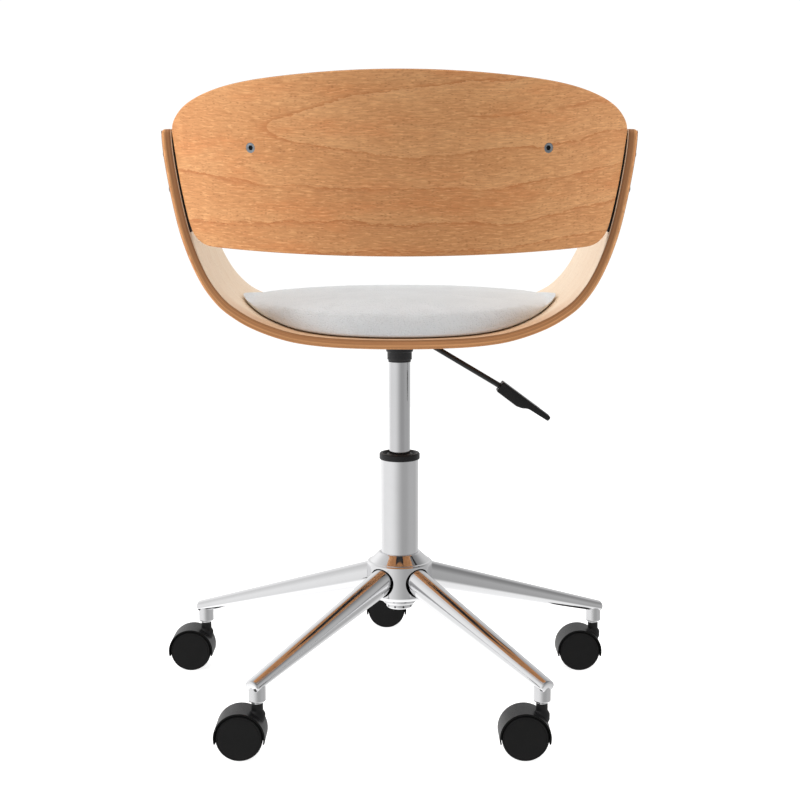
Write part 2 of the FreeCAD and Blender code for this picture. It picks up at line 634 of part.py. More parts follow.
# dome-headed screws through each arm into the end of the back panel
screws = []
for i, (sx, y, h) in enumerate(ARM_SCREWS):
    xo = arm_x[h]
    head = Part.makeSphere(5.2, V(0, 0, 0)).common(Part.makeBox(20, 20, 4, V(-10, -10, 3.4)))
    head.translate(V(0, 0, -3.4))
    body = head.fuse(Part.makeCylinder(2.0, 22.0, V(0, 0, 0.05), V(0, 0, -1)))
    body = body.cut(Part.makeBox(8, 0.8, 1.0, V(-4, -0.4, 1.0)))
    f = doc.addObject("Part::Feature", "arm_screw_%d" % (i + 1))
    f.Shape = body.removeSplitter()
    rot = FreeCAD.Rotation(V(0, 1, 0), sx * 90)
    f.Placement = SHELL.multiply(FreeCAD.Placement(V(sx * (xo + (0.5 if h > 200 else 0.75)), y, h), rot))
    screws.append(f)
keep(compound("arm_screw_group", screws), "arm_screws")

# ---------------------------------------------------------------- seat cushion (soft)
A, YC = n("cushion_half"), n("cushion_mid")
plan = []
for i in range(72):
    t = 2 * math.pi * i / 72
    c, s = math.cos(t), math.sin(t)
    # fuller corners at the rear, a rounder end at the front
    px, py, reach = (0.80, 0.72, n("cushion_front")) if s > 0 else (0.75, 0.95, n("cushion_rear"))
    plan.append(V(A * math.copysign(abs(c) ** px, c), YC + reach * math.copysign(abs(s) ** py, s), -20))
pc = Part.BSplineCurve()
pc.interpolate(plan, PeriodicFlag=True)
prism = Part.Face(Part.Wire([pc.toShape()])).extrude(V(0, 0, 20 + n("cushion_top")))
low = offset_profile(n("shell_thick") + n("soft_gap"))
high = [V(p[0], p[1], p[2]) for p in low]
above = Part.Face(Part.Wire([spline(low).toShape(), Part.LineSegment(high[-1], high[0]).toShape()])).extrude(V(0, 420, 0))
cushion_shape = prism.common(above)
cushion = doc.addObject("Part::Feature", "cushion_solid")
cushion.Shape = cushion_shape
cushion.Placement = SHELL
keep(cushion, "seat_cushion")

# ---------------------------------------------------------------- back panel
PANEL = FreeCAD.Placement(V(0, n("panel_y"), n("panel_z")), FreeCAD.Rotation(V(1, 0, 0), n("panel_recline")))
RP, TP = n("panel_radius"), n("panel_thick")
# half outline in the panel's own front view, from the middle of the top, round the end, to the bottom
OUTLINE = [(0.0, 101.4), (40.0, 100.6), (80.0, 98.2), (132.5, 92.6), (165.0, 87.6), (190.0, 82.0), (212.0, 75.0),
           (230.0, 67.0), (243.0, 59.0), (252.5, 50.5), (259.0, 41.5), (262.2, 34.0), (262.8, 26.0), (261.4, 14.0),
           (259.5, 0.0), (255.8, -24.0), (251.2, -48.0), (246.6, -68.0), (243.4, -79.5), (239.0, -89.0), (231.5, -96.6),
           (222.0, -100.4), (212.0, -101.2), (196.0, -101.2)]


def outline_face(shift=0.0):
    right_side = [(x, shift, h) for x, h in OUTLINE]
    left_side = [(-x, shift, h) for x, h in OUTLINE]
    a = spline(left_side[::-1][:-1] + right_side)
    e = [a.toShape(), Part.LineSegment(V(*right_side[-1]), V(*left_side[-1])).toShape()]
    return Part.Face(Part.Wire(e))


prism = outline_face(-30.0).extrude(V(0, 220, 0))
ring = Part.makeCylinder(RP, 400, V(0, RP, -200)).cut(Part.makeCylinder(RP - TP, 400, V(0, RP, -200)))
panel_shape = prism.common(ring)
turn = math.radians(n("bolt_turn"))


def panel_spot(sign, radius):
    """A point over the bolt's centre line at a distance from the bend's axis."""
    return V(sign * radius * math.sin(turn), RP - radius * math.cos(turn), n("bolt_height"))


def inward(sign):
    return V(-sign * math.sin(turn), math.cos(turn), 0)


for sign in (-1, 1):
    panel_shape = panel_shape.cut(Part.makeCylinder(3.1, 40, panel_spot(sign, RP + 10), inward(sign)))
    panel_shape = panel_shape.cut(Part.makeCone(n("bolt_head") + 0.45, 3.1, n("bolt_head") - 2.65,
                                                panel_spot(sign, RP + 0.05), inward(sign)))
# pilot bores for the arm screws, in the panel's ends
for sx, y, h in ARM_SCREWS:
    p = SHELL.multVec(V(sx * (arm_x[h] + 6), y, h))
    d = SHELL.Rotation.multVec(V(-sx, 0, 0))
    inv = PANEL.inverse()
    panel_shape = panel_shape.cut(Part.makeCylinder(2.05, 32, inv.multVec(p), inv.Rotation.multVec(d)))
panel = doc.addObject("Part::Feature", "panel_solid")
panel.Shape = panel_shape
panel.Placement = PANEL
keep(panel, "back_panel")

# countersunk bolts with a hexagon socket
backs, nuts = [], []
for i, sign in enumerate((-1, 1)):
    hr = n("bolt_head")
    base = Part.makeCylinder(hr, 0.5, V(0, 0, 0)).fuse(Part.makeCone(hr, 3.0, hr - 3.0, V(0, 0, 0.5)))
    base = base.fuse(Part.makeCylinder(3.0, 22.0, V(0, 0, 0.5)))
    key = Part.Face(Part.makePolygon([V(2.3 * math.cos(math.radians(60 * q)), 2.3 * math.sin(math.radians(60 * q)), 0)
                                      for q in range(7)])).extrude(V(0, 0, 2.2))
    base = base.cut(key)
    f = doc.addObject("Part::Feature", "back_bolt_%d" % (i + 1))
    f.Shape = base.removeSplitter()
    spot = panel_spot(sign, RP - 0.15 + 0.5)
    f.Placement = PANEL.multiply(FreeCAD.Placement(spot, FreeCAD.Rotation(V(0, 0, 1), inward(sign))))
    backs.append(f)
    nut = Part.makeCylinder(4.4, 9.0, V(0, 0, -9.0)).fuse(Part.makeCylinder(9.0, 1.4, V(0, 0, 0)))
    nut = nut.cut(Part.makeCylinder(3.05, 20, V(0, 0, -12)))
    g = doc.addObject("Part::Feature", "back_nut_%d" % (i + 1))
    g.Shape = nut.removeSplitter()
    spot = panel_spot(sign, RP - TP - 0.4 - n("board_thick"))
    g.Placement = PANEL.multiply(FreeCAD.Placement(spot, FreeCAD.Rotation(V(0, 0, 1), inward(sign))))
    nuts.append(g)
keep(compound("back_bolt_group", backs), "back_bolts")
# the barrel of each nut stands in the board, its flange under the foam
nut_cut = []
for i, sign in enumerate((-1, 1)):
    nut_cut.append((sign, panel_spot(sign, RP - TP + 6)))


def pad_prism(half, tall, y0, y1):
    pts = []
    for i in range(60):
        t = 2 * math.pi * i / 60
        c, s = math.cos(t), math.sin(t)
        pts.append(V(half * math.copysign(abs(c) ** 0.72, c), y0, 1.0 + tall * math.copysign(abs(s) ** 0.78, s)))
    c = Part.BSplineCurve()
    c.interpolate(pts, PeriodicFlag=True)
    return Part.Face(Part.Wire([c.toShape()])).extrude(V(0, y1 - y0, 0))


def ring_between(r_out, r_in):
    return Part.makeCylinder(r_out, 400, V(0, RP, -200)).cut(Part.makeCylinder(r_in, 400, V(0, RP, -200)))


r0 = RP - TP - 0.1
board_shape = pad_prism(n("pad_half") - 10, n("pad_tall") - 8, -20, 200).common(ring_between(r0, r0 - n("board_thick")))
pad_shape = pad_prism(n("pad_half"), n("pad_tall"), -20, 200).common(
    ring_between(r0 - n("board_thick") - 0.1, r0 - n("board_thick") - n("pad_thick")))
for sign, spot in nut_cut:
    board_shape = board_shape.cut(Part.makeCylinder(4.45, 40, spot, inward(sign)))
    pad_shape = pad_shape.cut(Part.makeCylinder(9.4, 20 + n("board_thick") - 4, spot, inward(sign)))
board = doc.addObject("Part::Feature", "board_solid")
board.Shape = board_shape
board.Placement = PANEL
keep(board, "back_pad_board")
pad = doc.addObject("Part::Feature", "pad_solid")
pad.Shape = pad_shape
pad.Placement = PANEL
keep(pad, "back_pad")
# shorter barrels than the board is thick, so that they stay inside it
for g, sign in zip(nuts, (-1, 1)):
    nut = Part.makeCylinder(4.4, 3.6, V(0, 0, -3.6)).fuse(Part.makeCylinder(9.0, 1.2, V(0, 0, 0)))
    nut = nut.cut(Part.makeCylinder(3.05, 20, V(0, 0, -12)))
    place = g.Placement
    g.Shape = nut.removeSplitter()
    g.Placement = place
keep(compound("back_nut_group", nuts), "back_t_nuts")

# rubber strips between the panel's ends and the arms


def strip_points(dist, lo_h, hi_h):
    pts = [(p[0], p[2]) for p in offset_profile(dist) if p[0] > 0 and lo_h <= p[2] <= hi_h]
    pts = sorted(pts, key=lambda q: q[1])
    return [(x, 0, z) for x, z in pts]


strip_lo, strip_hi = 132.0, 252.0
a_pts = strip_points(n("shell_thick") + 0.03, strip_lo, strip_hi)
b_pts = strip_points(n("shell_thick") + n("panel_gap") - 0.5, strip_lo, strip_hi)
for sign, side in ((-1, "left"), (1, "right")):
    aa = [(sign * x, y, z) for x, y, z in a_pts]
    bb = [(sign * x, y, z) for x, y, z in b_pts]
    face = Part.Face(Part.Wire(Part.__sortEdges__([
        spline(aa).toShape(), spline(bb).toShape(),
        Part.LineSegment(V(*aa[-1]), V(*bb[-1])).toShape(), Part.LineSegment(V(*aa[0]), V(*bb[0])).toShape()])))
    strip = face.extrude(V(0, 15.0, 0))
    strip.translate(V(0, 1.2, 0))
    # clear of the panel's end
    in_shell = panel_shape.copy()
    in_shell.Placement = SHELL.inverse().multiply(PANEL)
    for off in (0.0, 0.1):
        tool = in_shell.copy()
        tool.translate(V(sign * off, 0, 0))
        strip = strip.cut(tool)
    strip = max(strip.Solids, key=lambda q: q.Volume)
    for sx, y, h in ARM_SCREWS:
        if sx == sign:
            strip = strip.cut(Part.makeCylinder(2.05, 40, V(sx * (arm_x[h] + 6), y, h), V(-sx, 0, 0)))
    f = doc.addObject("Part::Feature", "strip_%s" % side)
    f.Shape = strip
    f.Placement = SHELL
    keep(f, "panel_gasket_" + side)

# ---------------------------------------------------------------- castors
for k in range(5):
    tag = "castor%d" % (k + 1)
    d = arm_dir(k) * n("stem_circle")
    ax = d.x - n("castor_trail")
    arc = 180.0 + 2 * n("hood_drop")
    turn_rot = FreeCAD.Rotation(V(0, 1, 0), n("hood_drop")) * BACK_Y
    big = cylinder(tag + "_hood_out", D["hood_radius"], 2 * D["castor_half"], (ax, d.y + n("castor_half"), n("wheel_radius")),
                   turn_rot, arc)
    small = cylinder(tag + "_hood_in", D["hood_radius"] - D["hood_wall"], 2 * D["castor_half"] + 2,
                     (ax, d.y + n("castor_half") + 1, n("wheel_radius")), BACK_Y)
    hood = cut(tag + "_hood", big, small)
    core = cylinder(tag + "_core", D["hood_radius"] - 1.0, 2 * D["body_half"], (ax, d.y + n("body_half"), n("wheel_radius")),
                    turn_rot, arc)
    boss = cylinder(tag + "_boss", D["wheel_radius"] - 8.0, 2 * D["body_half"],
                    (ax, d.y + n("body_half"), n("wheel_radius")), BACK_Y)
    neck = cylinder(tag + "_neck", D["neck_radius"], D["neck_top"] - 34.0, (d.x, d.y, 34.0))
    whole = fuse(tag + "_whole", [hood, core, boss, neck])
    sb = cylinder(tag + "_stem_bore", D["stem_radius"] + D["run_fit"], 60.0, (d.x, d.y, 38.0))
    ab = cylinder(tag + "_axle_bore", D["axle_radius"], 30.0, (ax, d.y + 15.0, n("wheel_radius")), BACK_Y)
    keep(cut(tag + "_bored", whole, fuse(tag + "_bores", [sb, ab])), "castor_frame_%d" % (k + 1))

    stem = turned("castor_stem_%d" % (k + 1), [
        (0, 39.0), (D["stem_radius"] - 0.6, 39.0), (D["stem_radius"], 39.6), (D["stem_radius"], D["neck_top"] + 0.4),
        (D["post_bore"] + 1.1, D["neck_top"] + 0.4), (D["post_bore"] + 1.1, D["post_base"] - 0.02),
        (D["post_bore"] - 0.02, D["post_base"] - 0.02), (D["post_bore"] - 0.02, D["stem_top"] - 1.0),
        (D["post_bore"] - 1.2, D["stem_top"]), (0, D["stem_top"])])
    stem.Placement = FreeCAD.Placement(V(d.x, d.y, 0), FreeCAD.Rotation())

    keep(cylinder(tag + "_axle", D["axle_radius"], 32.0, (ax, d.y + 16.0, n("wheel_radius")), BACK_Y),
         "castor_axle_%d" % (k + 1))

    for side, rot in (("rear", BACK_Y), ("front", ALONG_Y)):
        # a wheel is turned about its axle: inner face, tread with rounded edges, dished disc outside
        wheel = turned("castor_wheel_%d_%s" % (k + 1, side), [
            (D["axle_radius"] + D["run_fit"], D["wheel_in"]),
            (D["wheel_radius"] - 1.2, D["wheel_in"]),
            (D["wheel_radius"], D["wheel_in"] + 1.2),
            (D["wheel_radius"], D["wheel_out"] - 2.2),
            (D["wheel_radius"] - 0.5, D["wheel_out"] - 1.0),
            (D["wheel_radius"] - 1.6, D["wheel_out"] - 0.25),
            (D["wheel_radius"] - 2.6, D["wheel_out"]),
            (0, D["wheel_out"]),
            (0, D["wheel_out"] - 3.4),
            (D["axle_radius"] + D["run_fit"], D["wheel_out"] - 3.4)])
        wheel.Placement = FreeCAD.Placement(V(ax, d.y, n("wheel_radius")), rot)

doc.recompute()

# ---------------------------------------------------------------- tests, then files
bad = []
for obj in doc.Objects:
    if "Invalid" in obj.State or "Error" in obj.State:
        bad.append("%s state %s" % (obj.Label, obj.State))
for label, obj in SUBPARTS:
    if obj.Shape.isNull() or not obj.Shape.isValid():
        bad.append("%s has no valid shape" % label)
    elif not obj.Shape.Solids or obj.Shape.Volume <= 0:
        bad.append("%s has no solid" % label)
labels = [label for label, _ in SUBPARTS]
if len(labels) != len(set(labels)) or len(labels) > 60:
    bad.append("labels: %d of them, %d different" % (len(labels), len(set(labels))))
if bad:
    raise SystemExit("\n".join(bad))
os.makedirs("parts", exist_ok=True)
for label, obj in SUBPARTS:
    obj.Shape.exportStep(os.path.join("parts", label + ".step"))
print("wrote %d parts" % len(SUBPARTS))
for label, obj in SUBPARTS:
    if len(obj.Shape.Solids) != 1:
        print(label, "solids", len(obj.Shape.Solids))
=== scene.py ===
import math

import bmesh
import bpy
import numpy as np
from mathutils import Matrix, Vector


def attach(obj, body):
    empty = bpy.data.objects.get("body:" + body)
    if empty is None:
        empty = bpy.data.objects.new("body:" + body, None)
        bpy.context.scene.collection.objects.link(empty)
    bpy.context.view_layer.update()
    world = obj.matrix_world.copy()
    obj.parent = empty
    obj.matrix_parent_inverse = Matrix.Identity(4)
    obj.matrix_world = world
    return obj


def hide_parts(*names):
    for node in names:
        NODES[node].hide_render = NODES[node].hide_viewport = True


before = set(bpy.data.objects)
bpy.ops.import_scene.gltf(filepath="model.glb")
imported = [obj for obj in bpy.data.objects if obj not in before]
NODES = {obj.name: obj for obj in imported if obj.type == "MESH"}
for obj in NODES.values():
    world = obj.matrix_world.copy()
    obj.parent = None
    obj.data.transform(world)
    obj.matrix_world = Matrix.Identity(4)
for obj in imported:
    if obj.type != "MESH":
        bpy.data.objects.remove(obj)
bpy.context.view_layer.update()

# Shapes are written in millimetres and laid in the model's frame in metres:
# +Z up, origin on the floor under the column, +Y to the chair's front, +X to the lever's side.
MM = 0.001
scene = bpy.context.scene
AZIMUTHS = [0, -72, -144, 144, 72]
# light levels of the studio
GLOW, BACK_LEFT, BACK_RIGHT, TOP_GLOW = 0.80, 0.64, 0.29, 0.28
CARD, CARD_LEFT, CARD_BACK, CARD_TOP, CARD_LOW = 0.43, 0.54, 0.24, -0.24, 0.60
LEFT_POWER, RIGHT_POWER, TOP_POWER = 66.0, 43.0, 21.5


# ------------------------------------------------------------------------------------ mesh helpers
def placed(at=(0, 0, 0), rot=None):
    """Millimetres in, metres out."""
    m = Matrix.Translation(Vector(at) * MM)
    if rot is not None:
        m = m @ rot.to_4x4()
    return m @ Matrix.Scale(MM, 4)


def about(axis, deg):
    return Matrix.Rotation(math.radians(deg), 4, axis)


def build(name, verts, faces, matrix=None, floats=None, vectors=None, sharp=34.0, mats=(), face_mats=None, weld=0.0):
    me = bpy.data.meshes.new(name)
    me.from_pydata([tuple(map(float, v)) for v in verts], [], [tuple(int(i) for i in f) for f in faces])
    for key, values in (floats or {}).items():
        me.attributes.new(key, "FLOAT", "POINT").data.foreach_set("value", np.asarray(values, np.float32).ravel())
    for key, values in (vectors or {}).items():
        me.attributes.new(key, "FLOAT_VECTOR", "POINT").data.foreach_set("vector", np.asarray(values, np.float32).ravel())
    for m in mats:
        me.materials.append(m)
    if face_mats is not None:
        me.polygons.foreach_set("material_index", np.asarray(face_mats, np.int32))
    bm = bmesh.new()
    bm.from_mesh(me)
    if weld:
        bmesh.ops.remove_doubles(bm, verts=bm.verts, dist=weld)
    bmesh.ops.recalc_face_normals(bm, faces=bm.faces)
    bm.to_mesh(me)
    bm.free()
    if matrix is not None:
        me.transform(matrix)
    me.update()
    me.shade_smooth()
    if sharp:
        me.set_sharp_from_angle(angle=math.radians(sharp))
    ob = bpy.data.objects.new(name, me)
    scene.collection.objects.link(ob)
    return ob


def join(name, parts, mats=None):
    """Several built meshes as one."""
    bm = bmesh.new()
    slots = []
    for p in parts:
        for m in p.data.materials:
            if m not in slots:
                slots.append(m)
    for p in parts:
        start = len(bm.faces)
        bm.from_mesh(p.data)
        bm.faces.ensure_lookup_table()
        for f in bm.faces[start:]:
            if p.data.materials:
                f.material_index = slots.index(p.data.materials[f.material_index])
    me = bpy.data.meshes.new(name)
    bm.to_mesh(me)
    bm.free()
    for m in slots:
        me.materials.append(m)
    for p in parts:
        old = p.data
        bpy.data.objects.remove(p)
        bpy.data.meshes.remove(old)
    me.shade_smooth()
    me.set_sharp_from_angle(angle=math.radians(34))
    ob = bpy.data.objects.new(name, me)
    scene.collection.objects.link(ob)
    return ob


def rounded(corners, steps=5, closed=True):
    """A polyline of (x, y, radius) corners with each corner rounded, and a point close beside each round."""
    pts = [Vector(c[:2]) for c in corners]
    rad = [c[2] if len(c) > 2 else 0.0 for c in corners]
    n = len(pts)
    out = []
    for i in range(n):
        p = pts[i]
        if not closed and i in (0, n - 1):
            out.append(p)
            continue
        a, b = pts[i - 1] - p, pts[(i + 1) % n] - p
        la, lb = a.length, b.length
        if la < 1e-6 or lb < 1e-6:
            continue
        a, b = a / la, b / lb
        turn = math.pi - a.angle(b)
        if rad[i] <= 0 or turn < 0.02:
            out.append(p)
            continue
        cut = min(rad[i] * math.tan(turn / 2), 0.46 * la, 0.46 * lb)
        r = cut / math.tan(turn / 2)
        bis = (a + b).normalized()
        centre = p + bis * math.hypot(r, cut)
        s, e = p + a * cut, p + b * cut
        side = min(0.25, 0.03 * min(la, lb))
        out.append(s + a * side)
        va, vb = s - centre, e - centre
        ang = va.angle(vb)
        for k in range(steps + 1):
            t = k / steps
            out.append(centre + (va * math.sin((1 - t) * ang) + vb * math.sin(t * ang)) / math.sin(ang))
        out.append(e + b * side)
    return out


def lathe_mesh(corners, seg=96, steps=5, closed=True):
    prof = rounded(corners, steps, closed)
    verts, rows = [], []
    for r, z in prof:
        if r < 1e-6:
            rows.append([len(verts)])
            verts.append((0, 0, z))
        else:
            rows.append(list(range(len(verts), len(verts) + seg)))
            for k in range(seg):
                a = 2 * math.pi * k / seg
                verts.append((r * math.cos(a), r * math.sin(a), z))
    faces = []
    count = len(rows)
    for i in range(count if closed else count - 1):
        A, B = rows[i], rows[(i + 1) % count]
        if len(A) == 1 and len(B) == 1:
            continue
        for k in range(seg):
            k2 = (k + 1) % seg
            if len(A) == 1:
                faces.append((A[0], B[k], B[k2]))
            elif len(B) == 1:
                faces.append((A[k], B[0], A[k2]))
            else:
                faces.append((A[k], B[k], B[k2], A[k2]))
    return verts, faces


def lathe(name, corners, mat, matrix=None, seg=96, steps=5, closed=True, **more):
    v, f = lathe_mesh(corners, seg, steps, closed)
    return build(name, v, f, matrix if matrix is not None else placed(), mats=[mat], **more)


def loft(name, rings, mat, matrix=None, cap=True, closed_ring=True, **more):
    """Rings of equal count, joined in turn; the ends are closed by a fan."""
    seg = len(rings[0])
    verts = [p for ring in rings for p in ring]
    faces = []
    for i in range(len(rings) - 1):
        for k in range(seg if closed_ring else seg - 1):
            k2 = (k + 1) % seg
            faces.append((i * seg + k, i * seg + k2, (i + 1) * seg + k2, (i + 1) * seg + k))
    if cap:
        for i in (0, len(rings) - 1):
            verts.append(tuple(np.mean(np.array(rings[i], float), axis=0)))
            c = len(verts) - 1
            for k in range(seg):
                faces.append((i * seg + k, i * seg + (k + 1) % seg, c))
    return build(name, verts, faces, matrix if matrix is not None else placed(), mats=[mat], **more)


def cubic(t, p, q):
    """Natural cubic through (t, p), at q. p may have several columns."""
    t, p, q = np.asarray(t, float), np.asarray(p, float), np.asarray(q, float)
    if p.ndim == 1:
        return cubic(t, p[:, None], q)[:, 0]
    n = len(t)
    h = np.diff(t)
    a = np.zeros((n, n))
    b = np.zeros((n, p.shape[1]))
    a[0, 0] = a[-1, -1] = 1
    for i in range(1, n - 1):
        a[i, i - 1], a[i, i], a[i, i + 1] = h[i - 1], 2 * (h[i - 1] + h[i]), h[i]
        b[i] = 6 * ((p[i + 1] - p[i]) / h[i] - (p[i] - p[i - 1]) / h[i - 1])
    m = np.linalg.solve(a, b)
    k = np.clip(np.searchsorted(t, q, side="right") - 1, 0, n - 2)
    w, x = h[k][:, None], (q - t[k])[:, None]
    y = w - x
    return (m[k] * y ** 3 + m[k + 1] * x ** 3) / (6 * w) + (p[k] / w - m[k] * w / 6) * y + (p[k + 1] / w - m[k + 1] * w / 6) * x


def through(points, count, closed=False):
    """A smooth curve through points, sampled evenly by length."""
    p = np.asarray(points, float)
    t = np.concatenate([[0], np.cumsum(np.linalg.norm(np.diff(p, axis=0), axis=1))])
    fine = cubic(t, p, np.linspace(0, t[-1], 3000))
    return even(fine, count)


def even(line, count):
    line = np.asarray(line, float)
    t = np.concatenate([[0], np.cumsum(np.linalg.norm(np.diff(line, axis=0), axis=1))])
    q = np.linspace(0, t[-1], count)
    return np.stack([np.interp(q, t, line[:, i]) for i in range(line.shape[1])], axis=1)


def coons(low, high, left, right):
    """A grid between four boundary lines. low and high run left to right, left and right run low to high."""
    low, high, left, right = (np.asarray(x, float) for x in (low, high, left, right))
    m, n = len(low), len(left)
    u = np.linspace(0, 1, m)[:, None, None]
    v = np.linspace(0, 1, n)[None, :, None]
    g = (1 - v) * low[:, None] + v * high[:, None] + (1 - u) * left[None] + u * right[None]
    return g - ((1 - u) * (1 - v) * low[0] + u * (1 - v) * low[-1] + (1 - u) * v * high[0] + u * v * high[-1])


def board(name, grid, place, thick, r_near, r_far, matrix, mats, steps=6, wall=6, support=0.4):
    """A sheet of bent plywood from its flat pattern: two faces, rounded arrises and the layered edge.
    place(flat, depth) gives the bent position; the near face is at depth 0."""
    m, n = grid.shape[:2]
    idx = [(i, 0) for i in range(m)] + [(m - 1, j) for j in range(1, n)]
    idx += [(i, n - 1) for i in range(m - 2, -1, -1)] + [(0, j) for j in range(n - 2, 0, -1)]
    loop = np.array([grid[i, j] for i, j in idx])
    t = np.roll(loop, -1, 0) - np.roll(loop, 1, 0)
    nrm = np.stack([t[:, 1], -t[:, 0]], 1)
    nrm /= np.linalg.norm(nrm, axis=1)[:, None]
    area = np.sum(loop[:, 0] * np.roll(loop[:, 1], -1) - np.roll(loop[:, 0], -1) * loop[:, 1])
    if area < 0:
        nrm = -nrm
    r_near = np.broadcast_to(np.asarray(r_near, float), (len(loop),))
    r_far = np.broadcast_to(np.asarray(r_far, float), (len(loop),))
    flat, depth, edge = [], [], []

    def face(r, d):
        g = grid.copy()
        for (i, j), b, q, rr in zip(idx, loop, nrm, r):
            g[i, j] = b - q * (rr + support)
        flat.append(g.reshape(-1, 2))
        depth.append(np.full(m * n, d))
        edge.append(np.zeros(m * n))

    face(r_near, 0.0)
    rings = []
    for k in range(steps + 1):
        a = 0.5 * math.pi * k / steps
        rings.append((r_near * (1 - math.sin(a)), r_near * (1 - math.cos(a)), k / steps))
    for k in range(1, wall):
        rings.append((np.zeros(len(loop)), r_near + (thick - r_near - r_far) * k / wall, 1.0))
    for k in range(steps, -1, -1):
        a = 0.5 * math.pi * k / steps
        rings.append((r_far * (1 - math.sin(a)), thick - r_far * (1 - math.cos(a)), k / steps))
    for inset, d, e in rings:
        flat.append(loop - nrm * np.asarray(inset)[:, None])
        depth.append(np.broadcast_to(d, (len(loop),)).astype(float))
        edge.append(np.full(len(loop), e))
    face(r_far, thick)
    first = m * n
    faces = []
    for i in range(m - 1):
        for j in range(n - 1):
            q = (i * n + j, (i + 1) * n + j, (i + 1) * n + j + 1, i * n + j + 1)
            faces.append(q)
            off = first + len(rings) * len(loop)
            faces.append(tuple(off + k for k in reversed(q)))
    L = len(loop)
    rows = [[i * n + j for i, j in idx]]
    rows += [list(range(first + k * L, first + (k + 1) * L)) for k in range(len(rings))]
    rows += [[first + len(rings) * L + i * n + j for i, j in idx]]
    for A, B in zip(rows[:-1], rows[1:]):
        for k in range(L):
            k2 = (k + 1) % L
            faces.append((A[k], B[k], B[k2], A[k2]))
    flat, depth, edge = np.concatenate(flat), np.concatenate(depth), np.concatenate(edge)
    co = place(flat, depth)
    vec = np.concatenate([flat * MM, depth[:, None] * MM], axis=1)
    return build(name, co, faces, matrix, floats={"edge": edge}, vectors={"flat": vec}, mats=mats, sharp=0)


# ------------------------------------------------------------------------------------ node materials
def lin(r, g, b):
    """An sRGB colour, 0 to 255, as linear light."""
    out = []
    for c in (r, g, b):
        c /= 255.0
        out.append(c / 12.92 if c <= 0.04045 else ((c + 0.055) / 1.055) ** 2.4)
    return (*out, 1.0)


